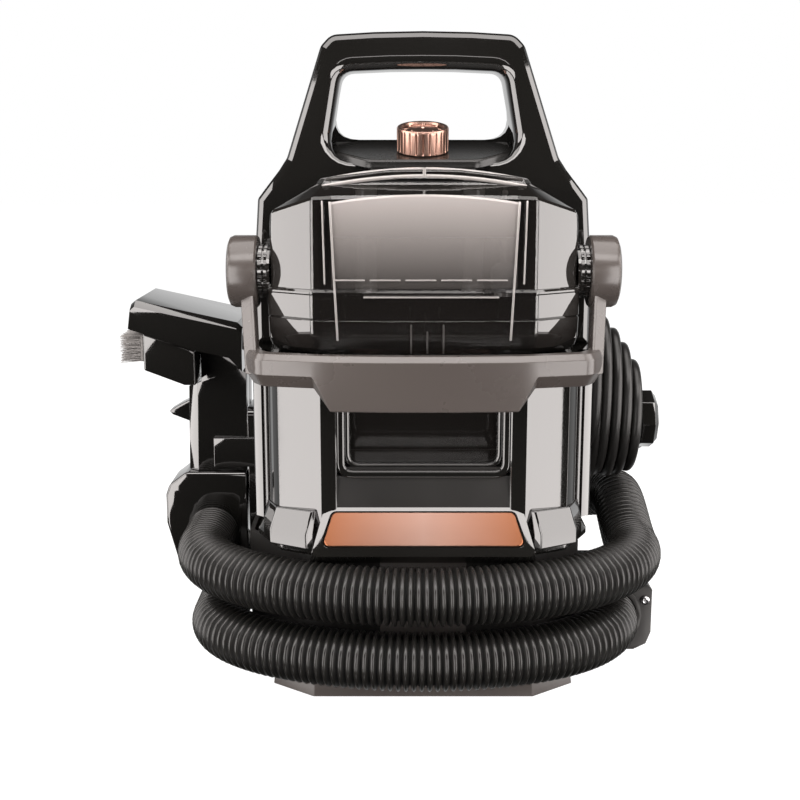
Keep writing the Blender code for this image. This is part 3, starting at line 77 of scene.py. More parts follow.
DECK_FRONT_HEIGHT = 0.317
KNOB_RADIUS = 0.016
KNOB_HEIGHT = 0.0152
KNOB_Y = -0.024
TANK_BACK = -0.0472
TANK_HALF = 0.092
TANK_BOTTOM = 0.2053
GROOVE_HEIGHT = 0.2272
LEDGE_HEIGHT = 0.2435
SHOULDER_HEIGHT = 0.28
PANE_HALF = 0.0535
PANE_FRONT = -0.0966
MOUTH_HALF = 0.062
LID_CROWN = 0.006
BAIL_TOP = 0.21
BAIL_BOTTOM = 0.178
BAIL_STEP = 0.0535
BAIL_PIVOT = Vector((0, -0.0645, 0.2523))
TOOL_BACK = -0.1175
TOOL_Y = 0.03

# Hose
HOSE_DIAMETER = 0.035
HOSE_RIBS = 280
RIB_DEPTH = 0.0036
HOSE_FRONT = -0.118
HOSE_BACK = 0.12
TURN_FRONT_CENTRE = -0.045
UPPER_FRONT_CENTRE = -0.025
TURN_BACK_CENTRE = 0.04
LOWER_REACH_RIGHT = 0.018
LOWER_REACH_LEFT = 0.027
UPPER_REACH_RIGHT = 0.035
UPPER_REACH_LEFT = 0.038
LOWER_TURN_Z = 0.026
UPPER_TURN_Z = 0.0665
CLIMB_HEIGHT = 0.083
CLIMB_START = 0.33

# Mains cord
CORD_DIAMETER = 0.0068
CORD_PITCH = 0.0069
CORD_TURNS = 4.5
CORD_LAYERS = 3
LAYER_STEP = 0.0064
CORD_CENTRE_Y = 0.01
CORD_CENTRE_Z = 0.167
CORD_HALF_HEIGHT = 0.053
CORD_HALF_DEPTH = 0.038
CORD_TAIL_DEPTH = 0.052
WINDING_DROP = 0.004
WINDING_ROUNDING = 0.00095
WINDING_TAPER = 0.0015
WINDING_START_X = HALF + 0.0062
LEAD_X = HALF + 0.009


# Camera

def make_camera():
    data = bpy.data.cameras.new("camera")
    data.sensor_width = 36.0
    data.lens = 56.52
    data.clip_start = 0.01
    camera = bpy.data.objects.new("camera", data)
    camera.location = (-0.014, -0.817, 0.328)
    camera.rotation_euler = (math.radians(90 - 11.6), 0, 0)
    bpy.context.scene.collection.objects.link(camera)
    bpy.context.scene.camera = camera


make_camera()


# Node groups that several finishes share

# How far from the middle the painted sheen on brushed copper fades out
SHEEN_REACH = 0.06
# Heights over which the clear finishes are painted from darker low down to lighter near the top, as
# painted light and shade
PAINTED_LIGHT_BOTTOM, PAINTED_LIGHT_TOP = 0.246, 0.299
FLANK_START, FLANK_END = 0.061, 0.066


def new_group(name, inputs, outputs):
    group = bpy.data.node_groups.new(name, "ShaderNodeTree")
    for label, value in inputs.items():
        socket = group.interface.new_socket(label, in_out="INPUT", socket_type="NodeSocketFloat")
        socket.default_value = value
    for label in outputs:
        group.interface.new_socket(label, in_out="OUTPUT", socket_type="NodeSocketFloat")
    entry = group.nodes.new("NodeGroupInput")
    leave = group.nodes.new("NodeGroupOutput")
    return group, entry, leave


def add_noise(tree, coordinates, scale, detail, roughness=0.5):
    noise = tree.nodes.new("ShaderNodeTexNoise")
    noise.inputs["Scale"].default_value = scale
    noise.inputs["Detail"].default_value = detail
    noise.inputs["Roughness"].default_value = roughness
    tree.links.new(coordinates, noise.inputs["Vector"])
    return noise


def add_range(tree, value, low, high, out_low, out_high):
    node = tree.nodes.new("ShaderNodeMapRange")
    for label, number in (("From Min", low), ("From Max", high), ("To Min", out_low),
                          ("To Max", out_high)):
        node.inputs[label].default_value = number
    tree.links.new(value, node.inputs["Value"])
    return node.outputs["Result"]


def add_math(tree, operation, *values):
    node = tree.nodes.new("ShaderNodeMath")
    node.operation = operation
    for socket, value in zip(node.inputs, values):
        tree.links.new(value, socket)
    return node.outputs[0]


def add_split(tree, coordinates):
    split = tree.nodes.new("ShaderNodeSeparateXYZ")
    tree.links.new(coordinates, split.inputs["Vector"])
    return split.outputs


def moulded_group():
    """Moulding grain, cloudy handling marks and a slow change of shade over a plastic surface."""
    group, entry, leave = new_group("moulded_surface", {"Grain Scale": 900.0},
                                    ("Grain", "Marks", "Shade"))
    place = group.nodes.new("ShaderNodeTexCoord").outputs["Object"]
    grain = add_noise(group, place, 900.0, 2.0)
    group.links.new(entry.outputs["Grain Scale"], grain.inputs["Scale"])
    group.links.new(grain.outputs["Fac"], leave.inputs["Grain"])
    marks = add_noise(group, place, 22.0, 5.0, 0.62)
    group.links.new(add_range(group, marks.outputs["Fac"], 0.42, 0.72, 0.0, 1.0), leave.inputs["Marks"])
    shade = add_noise(group, place, 9.0, 2.0)
    group.links.new(add_range(group, shade.outputs["Fac"], 0.3, 0.7, 0.0, 1.0), leave.inputs["Shade"])
    return group


def brushed_group():
    """Fine straight streaks along X, as on brushed metal, and a painted sheen that fades away from the
    middle.
    """
    group, entry, leave = new_group("brushed_streaks", {"Fineness": 900.0}, ("Streaks", "Painted Sheen"))
    place = group.nodes.new("ShaderNodeTexCoord").outputs["Object"]
    stretch = group.nodes.new("ShaderNodeMapping")
    stretch.inputs["Scale"].default_value = (0.02, 1.0, 1.0)
    group.links.new(place, stretch.inputs["Vector"])
    streaks = add_noise(group, stretch.outputs["Vector"], 900.0, 3.0)
    group.links.new(entry.outputs["Fineness"], streaks.inputs["Scale"])
    group.links.new(streaks.outputs["Fac"], leave.inputs["Streaks"])
    aside = add_math(group, "ABSOLUTE", add_split(group, place)["X"])
    group.links.new(add_range(group, aside, 0.0, SHEEN_REACH, 1.0, 0.0), leave.inputs["Painted Sheen"])
    return group


MOULDED = moulded_group()
BRUSHED = brushed_group()


# Finishes

class Finish:
    """A material under construction: its node tree, its shader and a few shorthands."""

    def __init__(self, slot):
        self.material = bpy.data.materials.new("finish_" + slot)
        self.material.use_nodes = True
        self.tree = self.material.node_tree
        self.shader = self.tree.nodes["Principled BSDF"]

    def set(self, **values):
        for label, value in values.items():
            socket = label.replace("_", " ").title().replace("Ior", "IOR")
            self.shader.inputs[socket].default_value = value

    def group(self, group, **values):
        node = self.tree.nodes.new("ShaderNodeGroup")
        node.node_tree = group
        for label, value in values.items():
            node.inputs[label.replace("_", " ").title()].default_value = value
        return node.outputs

    def link(self, output, label):
        self.tree.links.new(output, self.shader.inputs[label])

    def mix(self, factor, low, high):
        node = self.tree.nodes.new("ShaderNodeMix")
        node.data_type = "RGBA"
        node.inputs["A"].default_value = (*low, 1.0)
        node.inputs["B"].default_value = (*high, 1.0)
        self.tree.links.new(factor, node.inputs["Factor"])
        return node.outputs["Result"]

    def range(self, value, out_low, out_high, low=0.0, high=1.0):
        return add_range(self.tree, value, low, high, out_low, out_high)

    def bump(self, height, distance, strength=1.0):
        node = self.tree.nodes.new("ShaderNodeBump")
        node.inputs["Strength"].default_value = strength
        node.inputs["Distance"].default_value = distance
        self.tree.links.new(height, node.inputs["Height"])
        self.link(node.outputs["Normal"], "Normal")

    def cover(self, tint, low, high, wear, smooth, rough, relief, depth):
        """Colour, roughness and bump, each led by an output of a node."""
        self.link(self.mix(tint, low, high), "Base Color")
        self.link(self.range(wear, smooth, rough), "Roughness")
        self.bump(relief, depth)


def plastic(slot, dark, light, smooth, rough, grain_scale, grain_depth, coat=0.0, ior=1.5,
            coat_blur=0.03):
    finish = Finish(slot)
    skin = finish.group(MOULDED, grain_scale=grain_scale)
    finish.cover(skin["Shade"], dark, light, skin["Marks"], smooth, rough, skin["Grain"], grain_depth)
    finish.set(ior=ior, coat_weight=coat, coat_roughness=coat_blur, coat_ior=1.6)
    return finish.material


def copper_finish(slot, end_tint, middle_tint):
    finish = Finish(slot)
    metal = finish.group(BRUSHED, fineness=1400.0)
    skin = finish.group(MOULDED, grain_scale=300.0)
    # Painted sheen: the copper is lighter in the middle and darker towards its ends.
    finish.cover(metal["Painted Sheen"], end_tint, middle_tint, skin["Marks"], 0.28, 0.36,
                 metal["Streaks"], 0.000006)
    finish.set(metallic=1.0)
    return finish.material


def steel_finish():
    finish = Finish("steel")
    streaks = finish.group(BRUSHED, fineness=1100.0)["Streaks"]
    finish.cover(streaks, (0.46, 0.46, 0.47), (0.66, 0.66, 0.67), streaks, 0.22, 0.38, streaks, 0.00003)
    finish.set(metallic=1.0)
    return finish.material


def clear_finish(slot, top_tint, low_tint, top_alpha, low_alpha, flank_alpha=0.0):
    """Smoky clear plastic: seen through face on and denser at its rims; its colour and opacity change
    with height, painted lighter near the top and darker low down as painted light and shade.
    """
    finish = Finish(slot)
    place = finish.tree.nodes.new("ShaderNodeTexCoord").outputs["Object"]
    split = add_split(finish.tree, place)
    # Painted light and shade: colour and opacity go from low_tint low down to top_tint near the top.
    painted_light_rise = finish.range(split["Z"], 0.0, 1.0, PAINTED_LIGHT_BOTTOM, PAINTED_LIGHT_TOP)
    skin = finish.group(MOULDED, grain_scale=120.0)
    finish.cover(painted_light_rise, low_tint, top_tint, skin["Marks"], 0.03, 0.07, skin["Shade"], 0.00005)
    rim = finish.tree.nodes.new("ShaderNodeLayerWeight")
    rim.inputs["Blend"].default_value = 0.35
    dense = finish.range(rim.outputs["Facing"], 0.0, 1.0)
    clear = finish.range(painted_light_rise, low_alpha, top_alpha)
    aside = add_math(finish.tree, "ABSOLUTE", split["X"])
    flank = finish.range(aside, 0.0, flank_alpha, FLANK_START, FLANK_END)
    most = add_math(finish.tree, "MAXIMUM", flank, clear)
    alpha = finish.tree.nodes.new("ShaderNodeMapRange")
    finish.tree.links.new(dense, alpha.inputs["Value"])
    finish.tree.links.new(most, alpha.inputs["To Min"])
    finish.link(alpha.outputs["Result"], "Alpha")
    finish.set(ior=1.55, coat_weight=1.0, coat_roughness=0.02, coat_ior=1.7)
    return finish.material


def hose_finish():
    """Satin black, darkened to near black in the valleys between ribs as painted shade; rougher in the
    valleys and smoother on the crests.
    """
    finish = Finish("hose_black")
    rib = finish.tree.nodes.new("ShaderNodeAttribute")
    rib.attribute_name = "crest"
    crest = rib.outputs["Fac"]
    grain = finish.group(MOULDED, grain_scale=1200.0)["Grain"]
    # Painted shade: the base colour runs from near black in the rib valleys to the satin black of the
    # crests.
    finish.cover(crest, (0.0008, 0.0008, 0.0007), (0.012, 0.0115, 0.0105), crest, 0.75, 0.23,
                 grain, 0.00002)
    return finish.material


def bristle_finish():
    finish = Finish("bristle")
    skin = finish.group(MOULDED, grain_scale=700.0)
    dark, light = (0.06, 0.056, 0.053), (0.3, 0.285, 0.275)
    finish.cover(skin["Grain"], dark, light, skin["Marks"], 0.45, 0.65, skin["Grain"], 0.00005)
    return finish.material


BLACK = (0.0065, 0.0062, 0.0056)
SOOT = (0.0095, 0.0092, 0.0085)
PLASTICS = {
    "gloss_black": (BLACK, SOOT, 0.035, 0.085, 500.0, 0.000004, 1.0, 1.6),
    "satin_black": ((0.012, 0.0115, 0.011), (0.02, 0.019, 0.018), 0.36, 0.44, 1200.0, 0.000012),
    "deck_black": (BLACK, SOOT, 0.24, 0.3, 1500.0, 0.00001),
    "base_grey": ((0.05, 0.043, 0.04), (0.066, 0.057, 0.052), 0.36, 0.44, 1200.0, 0.00001),
    "warm_grey": ((0.062, 0.053, 0.049), (0.072, 0.062, 0.057), 0.27, 0.285, 1200.0, 0.000003,
                  0.3, 1.5, 0.16),
    "cord_black": ((0.009, 0.0086, 0.008), (0.014, 0.0135, 0.013), 0.32, 0.42, 1500.0, 0.00003),
    "rubber": ((0.012, 0.012, 0.012), (0.022, 0.022, 0.022), 0.62, 0.8, 1300.0, 0.00005),
    "motor_grey": ((0.2, 0.2, 0.21), (0.28, 0.28, 0.29), 0.4, 0.55, 1500.0, 0.00004),
    "board_green": ((0.02, 0.1, 0.04), (0.04, 0.17, 0.07), 0.35, 0.5, 700.0, 0.00003),
}
COPPERS = {
    # Copper tints: darker at the ends and lighter in the middle, a painted sheen
    "copper": ((0.37, 0.15, 0.078), (0.52, 0.325, 0.262)),
    "copper_plate": ((0.25, 0.095, 0.045), (0.33, 0.205, 0.165)),
}
CLEARS = {
    "smoky_clear": ((0.012, 0.011, 0.01), (0.014, 0.0125, 0.0115), 0.5, 0.45, 0.96),
    # clear_window: painted light and shade, pale near the top and dark low down
    "clear_window": ((0.48, 0.445, 0.43), (0.085, 0.079, 0.075), 0.76, 0.42),
    # clear_rail: a lighter copy of the clear plastic, its pale colour a painted highlight on rails, ribs,
    # bead, dashes, seam, ducts and float chain
    "clear_rail": ((0.42, 0.395, 0.38), (0.34, 0.32, 0.31), 0.7, 0.6),
}


def make_finishes():
    finishes = {"hose_black": hose_finish(), "bristle": bristle_finish(), "steel": steel_finish()}
    for make, table in ((plastic, PLASTICS), (copper_finish, COPPERS), (clear_finish, CLEARS)):
        for slot, values in table.items():
            finishes[slot] = make(slot, *values)
    return finishes


FINISH = make_finishes()


# Making and placing pieces

def settle(obj, body, slot, nodes, finish=None):
    """Give a piece its body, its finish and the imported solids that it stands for."""
    bpy.context.scene.collection.objects.link(obj)
    obj.data.materials.append(FINISH[finish or slot])
    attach(obj, body)
    if nodes:
        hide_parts(*nodes)
    return obj


def piece(name, bm, body, slot, *nodes, bevel=0.0, segments=3, crease=32.0, finish=None):
    """A mesh piece, its edges rounded by a live bevel where a width is given."""
    mesh = bpy.data.meshes.new(name)
    bm.normal_update()
    bm.to_mesh(mesh)
    bm.free()
    mesh.shade_smooth()
    obj = bpy.data.objects.new(name, mesh)
    if bevel:
        rounding = obj.modifiers.new("rounding", "BEVEL")
        rounding.width = bevel
        rounding.segments = segments
        rounding.limit_method = "ANGLE"
        rounding.angle_limit = math.radians(crease)
        rounding.harden_normals = True
        rounding.miter_outer = "MITER_ARC"
    else:
        mesh.set_sharp_from_angle(angle=math.radians(crease))
    return settle(obj, body, slot, nodes, finish)


def packed_copy(node):
    """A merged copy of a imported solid, its flat faces whole again."""
    bm = bmesh.new()
    bm.from_mesh(frame["nodes"][node].data)
    bmesh.ops.remove_doubles(bm, verts=bm.verts, dist=1e-5)
    bmesh.ops.dissolve_limit(bm, angle_limit=math.radians(0.6), verts=bm.verts, edges=bm.edges)
    return bm


def cut(bm, place, normal):
    """Split a mesh's faces along a plane."""
    everything = list(bm.verts) + list(bm.edges) + list(bm.faces)
    bmesh.ops.bisect_plane(bm, geom=everything, plane_co=place, plane_no=normal)


def softened(name, node, body, slot, bevel, **options):
    """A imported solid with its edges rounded."""
    return piece(name, packed_copy(node), body, slot, node, bevel=bevel, **options)


def rounded(corners, steps=5):
    """An outline from (u, v, radius) corners, each turned by a curve of about that radius."""
    outline = []
    count = len(corners)
    for i, (u, v, radius) in enumerate(corners):
        here = Vector((u, v))
        before = Vector(corners[i - 1][:2]) - here
        after = Vector(corners[(i + 1) % count][:2]) - here
        reach = min(radius / math.tan(before.angle(after) / 2), before.length * 0.48, after.length * 0.48)
        if reach < 1e-6:
            outline.append((u, v))
            continue
        start, end = here + before.normalized() * reach, here + after.normalized() * reach
        for k in range(steps + 1):
            t = k / steps
            point = start * (1 - t) ** 2 + here * 2 * t * (1 - t) + end * t * t
            outline.append((point.x, point.y))
    return outline


def mirrored(half, steps=5):
    """A rounded outline from the (x, v, radius) corners of its +X half."""
    return rounded(half + [(-x, v, radius) for x, v, radius in reversed(half) if x > 1e-9], steps)


def inset(outline, distance):
    """An outline moved inwards by a distance, or outwards by a negative one."""
    count = len(outline)
    area = sum(outline[i - 1][0] * outline[i][1] - outline[i][0] * outline[i - 1][1]
               for i in range(count))
    side = 1 if area > 0 else -1
    moved = []
    for i in range(count):
        here = Vector(outline[i])
        first = (here - Vector(outline[i - 1])).normalized()
        second = (Vector(outline[(i + 1) % count]) - here).normalized()
        inward = Vector((-first.y - second.y, first.x + second.x)) * side
        inward.normalize()
        share = max(0.5, inward.dot(Vector((-first.y, first.x)) * side))
        point = here + inward * distance / share
        moved.append((point.x, point.y))
    return moved


AXIS_PLACE = {
    "X": lambda u, v, w: Vector((w, u, v)),
    "Y": lambda u, v, w: Vector((u, w, v)),
    "Z": lambda u, v, w: Vector((u, v, w)),
}


def add_loop(bm, points):
    """A closed ring of vertices and edges."""
    verts = [bm.verts.new(point) for point in points]
    return [bm.edges.new((verts[i - 1], verts[i])) for i in range(len(verts))]


def lofted(rings, cap_start=True, cap_end=True):
    """A skin over rings with as many points each, capped at both ends."""
    bm = bmesh.new()
    loops = [add_loop(bm, ring) for ring in rings]
    for first, second in zip(loops, loops[1:]):
        bmesh.ops.bridge_loops(bm, edges=first + second)
    for loop, capped in ((loops[0], cap_start), (loops[-1], cap_end)):
        if capped:
            bmesh.ops.contextual_create(bm, geom=loop)
    bmesh.ops.recalc_face_normals(bm, faces=bm.faces)
    return bm


def level_rings(steps):
    """Level rings from (outline, height) pairs."""
    return [[Vector((x, y, z)) for x, y in outline] for outline, z in steps]


def stepped_rings(outline, steps):
    """Level rings from one outline and (inset, height) pairs."""
    return level_rings([(inset(outline, step), z) for step, z in steps])


def upright(node):
    """Bottom, top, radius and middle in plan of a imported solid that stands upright."""
    low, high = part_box(node)
    middle = Vector(((low.x + high.x) / 2, (low.y + high.y) / 2, 0))
    return low.z, high.z, (high.x - low.x) / 2, middle


def closed_band(rings):
    """A skin over rings that comes back to its first ring, as a hollow wall."""
    bm = bmesh.new()
    loops = [add_loop(bm, ring) for ring in rings]
    for first, second in zip(loops, loops[1:] + loops[:1]):
        bmesh.ops.bridge_loops(bm, edges=first + second)
    bmesh.ops.recalc_face_normals(bm, faces=bm.faces)
    return bm


def plate(axis, low, high, outline):
    """An outline raised along an axis: (y, z) along X, (x, z) along Y, (x, y) along Z."""
    place = AXIS_PLACE[axis]
    return lofted([[place(u, v, low) for u, v in outline], [place(u, v, high) for u, v in outline]])


def turned(profile, centre, axis, steps=48):
    """A (radius, along) profile spun round an axis; it closes on the axis or on itself."""
    along = Vector(axis).normalized()
    across = along.orthogonal().normalized()
    bm = bmesh.new()
    verts = [bm.verts.new(Vector(centre) + across * radius + along * height)
             for radius, height in profile]
    ends = [] if profile[0][0] < 1e-6 else [verts[0]]
    edges = [bm.edges.new(pair) for pair in zip(verts, verts[1:] + ends)]
    bmesh.ops.spin(bm, geom=verts + edges, cent=centre, axis=along, angle=2 * math.pi, steps=steps,
                   use_merge=True)
    bmesh.ops.remove_doubles(bm, verts=bm.verts, dist=1e-6)
    bmesh.ops.recalc_face_normals(bm, faces=bm.faces)
    return bm


def eased(low, high, share):
    share = min(1.0, max(0.0, share))
    return low + (high - low) * share * share * (3 - 2 * share)


# Hose and mains cord

def turn_points(reaches, heights, depth, centre_y, angles, count, climb_start=0.0):
    """Part of a turn, without its first point; its reach and height ease between two values."""
    points = []
    for i in range(1, count + 1):
        share = i / count
        angle = math.radians(angles[0] + (angles[1] - angles[0]) * share)
        reach = HALF + eased(*reaches, share)
        height = eased(*heights, (share - climb_start) / (1 - climb_start))
        points.append((reach * math.cos(angle), centre_y + depth * math.sin(angle), height))
    return points


def hose_route():
    """The hose's centre line: once round low, up behind, and round the front to the hand tool."""
    fine = 96
    points = [(HALF + LOWER_REACH_RIGHT, TURN_FRONT_CENTRE + HOSE_DIAMETER, LOWER_TURN_Z),
              (HALF + LOWER_REACH_RIGHT, TURN_FRONT_CENTRE, LOWER_TURN_Z)]
    points += turn_points((LOWER_REACH_RIGHT, LOWER_REACH_LEFT), (LOWER_TURN_Z, LOWER_TURN_Z),
                          TURN_FRONT_CENTRE - HOSE_FRONT, TURN_FRONT_CENTRE, (0, -180), fine)
    points.append((-HALF - LOWER_REACH_LEFT, TURN_BACK_CENTRE, LOWER_TURN_Z))
    points += turn_points((LOWER_REACH_LEFT, UPPER_REACH_RIGHT), (LOWER_TURN_Z, CLIMB_HEIGHT),
                          HOSE_BACK - TURN_BACK_CENTRE, TURN_BACK_CENTRE, (180, 0), fine, CLIMB_START)
    run_down = 24
    for i in range(1, run_down + 1):
        share = i / run_down
        y = TURN_BACK_CENTRE + (UPPER_FRONT_CENTRE - TURN_BACK_CENTRE) * share
        points.append((HALF + UPPER_REACH_RIGHT, y, eased(CLIMB_HEIGHT, UPPER_TURN_Z, share)))
    points += turn_points((UPPER_REACH_RIGHT, UPPER_REACH_LEFT), (UPPER_TURN_Z, UPPER_TURN_Z),
                          UPPER_FRONT_CENTRE - HOSE_FRONT, UPPER_FRONT_CENTRE, (0, -180), fine)
    points.append((-HALF - UPPER_REACH_LEFT, UPPER_FRONT_CENTRE + HOSE_DIAMETER, UPPER_TURN_Z))
    return [Vector(point) for point in points]


def even_points(route, count):
    """Points at equal steps along a route."""
    lengths = [0.0]
    for first, second in zip(route, route[1:]):
        lengths.append(lengths[-1] + (second - first).length)
    points, leg = [], 0
    for i in range(count):
        along = lengths[-1] * i / (count - 1)
        while leg < len(route) - 2 and lengths[leg + 1] < along:
            leg += 1
        share = (along - lengths[leg]) / (lengths[leg + 1] - lengths[leg])
        points.append(route[leg].lerp(route[leg + 1], share))
    return points


def tube(name, points, diameter, sides, radii=None, capped=True):
    """A curve object with a round section along a list of points."""
    curve = bpy.data.curves.new(name, "CURVE")
    curve.dimensions = "3D"
    curve.bevel_depth = diameter / 2
    curve.bevel_resolution = sides // 2 - 2
    curve.use_fill_caps = capped
    spline = curve.splines.new("POLY")
    spline.points.add(len(points) - 1)
    spline.use_smooth = True
    for i, place in enumerate(points):
        spline.points[i].co = (*place, 1)
        spline.points[i].radius = 1.0 if radii is None else radii[i]
    return bpy.data.objects.new(name, curve)


def make_hose():
    route = hose_route()
    valley = 1 - 2 * RIB_DEPTH / HOSE_DIAMETER
    flank = valley + (1 - valley) * 0.78
    rib = (valley, valley, flank, 1.0, 1.0, flank)
    points = even_points(route, HOSE_RIBS * len(rib) + 1)
    radii = [rib[i % len(rib)] for i in range(len(points))]
    softened("tool_cuff", "hose_cuff", "machine", "gloss_black", 0.003, segments=4)
    line = tube("hose_line", points, HOSE_DIAMETER, 28, radii, False)
    mesh = bpy.data.meshes.new_from_object(line)
    sides = len(mesh.vertices) // len(points)
    # The crest attribute carries the rib height, which the hose finish turns into painted shade in the
    # valleys.
    crest = mesh.attributes.new("crest", "FLOAT", "POINT")
    heights = [(radii[i // sides] - valley) / (1 - valley) for i in range(len(mesh.vertices))]
    crest.data.foreach_set("value", heights)
    bpy.data.objects.remove(line)
    mesh.materials.clear()
    hose = settle(bpy.data.objects.new("suction_hose", mesh), "machine", "hose_black", ["hose"])


def winding_size(turn, layer):
    """Half height, half depth and middle height of a turn; each layer further in is smaller."""
    height = CORD_HALF_HEIGHT - WINDING_ROUNDING * turn * turn - LAYER_STEP * layer
    depth = CORD_HALF_DEPTH - WINDING_TAPER * turn - LAYER_STEP * layer
    return height, depth, CORD_CENTRE_Z - WINDING_DROP * turn


def cord_route():
    """From the strain relief to the post, out and back in layers, and down behind to the plug."""
    per_turn = 48
    height, depth, middle = winding_size(0, 0)
    bottom = middle - height - 0.006
    lead_start = CORD_CENTRE_Y + 0.0257
    points = [(LEAD_X, lead_start - 0.016 * i / 6, bottom) for i in range(7)]
    whole = CORD_LAYERS * CORD_TURNS
    total = whole + 0.25
    for i in range(int(total * per_turn) + 1):
        turn = i / per_turn
        pass_number = min(CORD_LAYERS - 1, int(turn / CORD_TURNS))
        along = turn - pass_number * CORD_TURNS
        across = along if pass_number % 2 == 0 else CORD_TURNS - along
        layer = CORD_LAYERS - 1 - pass_number
        if pass_number == 0:
            layer = eased(0, layer, along / 0.75)
        else:
            layer = eased(layer + 1, layer, along / 0.25)
        height, depth, middle = winding_size(across, layer)
        sag = 0.006 * max(0.0, 1 - turn / 0.25) ** 2
        back = (turn - whole) / 0.25
        depth = eased(depth, CORD_TAIL_DEPTH, back)
        angle = 2 * math.pi * turn
        start_x = eased(LEAD_X, WINDING_START_X, turn / 0.6)
        points.append((start_x + CORD_PITCH * across, CORD_CENTRE_Y - depth * math.sin(angle),
                       middle - height * math.cos(angle) - sag))
    x, y, z = points[-1]
    points.append((x, y, z - CORD_DIAMETER))
    return [Vector(point) for point in points]


def make_cord():
    route = cord_route()
    softened("cord_relief", "strain_relief", "machine", "rubber", 0.0006, segments=2)
    softened("mains_plug", "plug", "machine", "rubber", 0.0005, segments=2)
    cord = settle(tube("mains_cord", route, CORD_DIAMETER, 14), "machine", "cord_black",
                  ["cord_winding", "cord_core"])


make_hose()
make_cord()


# Handle, spine and lower housing

def spine_corners(bottom):
    half = [(HALF, bottom, 0), (HALF, 0.2523, 0.02), (HALF - 0.003, 0.294, 0.004), (0.088, 0.311, 0.006),
            (0.0832, 0.3185, 0.012), (0.0628, 0.386, 0.01), (0.0565, 0.3928, 0.01), (0.03, 0.3944, 0.02),
            (0, HANDLE_HEIGHT, 0)]
    return mirrored(half)


def opening_corners(bottom):
    top = HANDLE_HEIGHT - 0.024
    half = [(OPENING_HALF, bottom, 0.015), (OPENING_HALF - 0.0085, top - 0.0005, 0.009),
            (0.02, top + 0.0008, 0.02), (0, top + 0.001, 0)]
    return mirrored([(0, bottom, 0)] + half, 6)


def make_handle_half(name, node, side, hole_bottom):
    """Half of the handle and spine: a shell with a chamfered rim and a band round the grip hole."""
    face, grip = (SPINE_FRONT, -HANDLE_DEPTH / 2) if side < 0 else (SPINE_BACK, HANDLE_DEPTH / 2)
    seam, seam_mark = 0.0, 1.0
    chamfer, band = 0.0038, 0.0105
    rim, hole = spine_corners(COLUMN_TOP), opening_corners(hole_bottom)
    bm = bmesh.new()
    outer = [(rim, seam_mark), (rim, chamfer), (inset(rim, chamfer * 0.35), chamfer * 0.35),
             (inset(rim, chamfer), 0)]
    outer = [[Vector((x, depth, z)) for x, z in outline] for outline, depth in outer]
    roll_steps = 10
    inner = []
    for k in range(roll_steps + 1):
        angle = math.pi / 2 * k / roll_steps
        ring = []
        for (x, z), (wide_x, wide_z) in zip(hole, inset(hole, -band)):
            share = eased(0.25, 1.0, (z - hole_bottom) / 0.02)
            out = share * (1 - math.sin(angle))
            ring.append(Vector((x + (wide_x - x) * out, band * share * (1 - math.cos(angle)),
                                z + (wide_z - z) * out)))
        inner.append(ring)
    inner.append([Vector((x, seam_mark, z)) for x, z in hole])
    loops = []
    for rings in (outer, inner):
        made = [add_loop(bm, ring) for ring in rings]
        for first, second in zip(made, made[1:]):
            bmesh.ops.bridge_loops(bm, edges=first + second)
        loops.append(made)
    bmesh.ops.triangle_fill(bm, use_beauty=True, use_dissolve=False, edges=loops[0][-1] + loops[1][0])
    bmesh.ops.triangle_fill(bm, use_beauty=True, use_dissolve=False, edges=loops[0][0] + loops[1][-1])
    cut(bm, (0, 0, TAPER_HEIGHT), (0, 0, 1))
    for vert in bm.verts:
        share = max(0.0, (vert.co.z - TAPER_HEIGHT) / (HANDLE_HEIGHT - TAPER_HEIGHT))
        front = face + (grip - face) * share
        vert.co.y = seam if vert.co.y > 0.5 else front - side * vert.co.y
    bmesh.ops.recalc_face_normals(bm, faces=bm.faces)
    piece(name, bm, "machine", "gloss_black", node, crease=12.0)


def column_corners(side):
    plan = [(POCKET_HALF, -GAP / 2, 0), (HALF, -GAP / 2, 0), (HALF, -0.0625, 0.002),
            (0.0985, -0.0672, 0.0006), (0.0972, -0.066, 0.0003), (0.0958, -0.0668, 0.0003),
            (0.0905, -0.08, 0.001), (0.0868, -0.0862, 0.0004), (0.0608, -0.0952, 0.0022),
            (POCKET_HALF, -0.0945, 0.002)]
    return [(side * x, y) for x, y in rounded(plan, 3)]


def make_columns():
    for label, side in SIDES:
        plan = column_corners(side)
        slim = inset(plan, COLUMN_EDGE)
        rings = level_rings([(plan, COLUMN_BOTTOM), (plan, COLUMN_TOP - COLUMN_EDGE), (slim, COLUMN_TOP)])
        piece(f"column_{label}", lofted(rings), "machine", "gloss_black", "front_housing", crease=14.0)


def u_band(half_width, bottom, radius, width, top):
    """A U-shaped band of even width, open at the top."""
    outer, inner = [[(half_width - step, top, 0), (half_width - step, bottom + step, radius - step)]
                    for step in (0, width)]
    return mirrored(outer, 6) + mirrored(inner, 6)[::-1]


def make_recess():
    """The bay between the columns: back wall, floor and the rounded lips of its mouth."""
    back = mirrored([(POCKET_HALF + 0.001, SHELF_HEIGHT - 0.002, 0),
                     (POCKET_HALF + 0.001, COLUMN_TOP + 0.002, 0)])
    piece("bay_wall", plate("Y", -0.045, -0.04, back), "machine", "gloss_black", "front_housing")
    floor = mirrored([(POCKET_HALF, -0.042, 0), (POCKET_HALF, -0.091, 0)])
    piece("bay_floor", plate("Z", SHELF_HEIGHT - 0.003, SHELF_HEIGHT, floor), "machine", "satin_black",
          "front_housing")
    for number, (half_width, bottom, width, front, depth) in enumerate((
            (POCKET_HALF + 0.0004, SHELF_HEIGHT - 0.0066, 0.005, -0.093, 0.006),
            (POCKET_HALF - 0.004, SHELF_HEIGHT - 0.0014, 0.0034, -0.0902, 0.0038)), 1):
        outline = u_band(half_width, bottom, 0.01, width, COLUMN_TOP - 0.001)
        lip = plate("Y", front, front + depth, outline)
        piece(f"bay_lip_{number}", lip, "machine", "gloss_black", "front_housing", bevel=0.0016,
              segments=4)


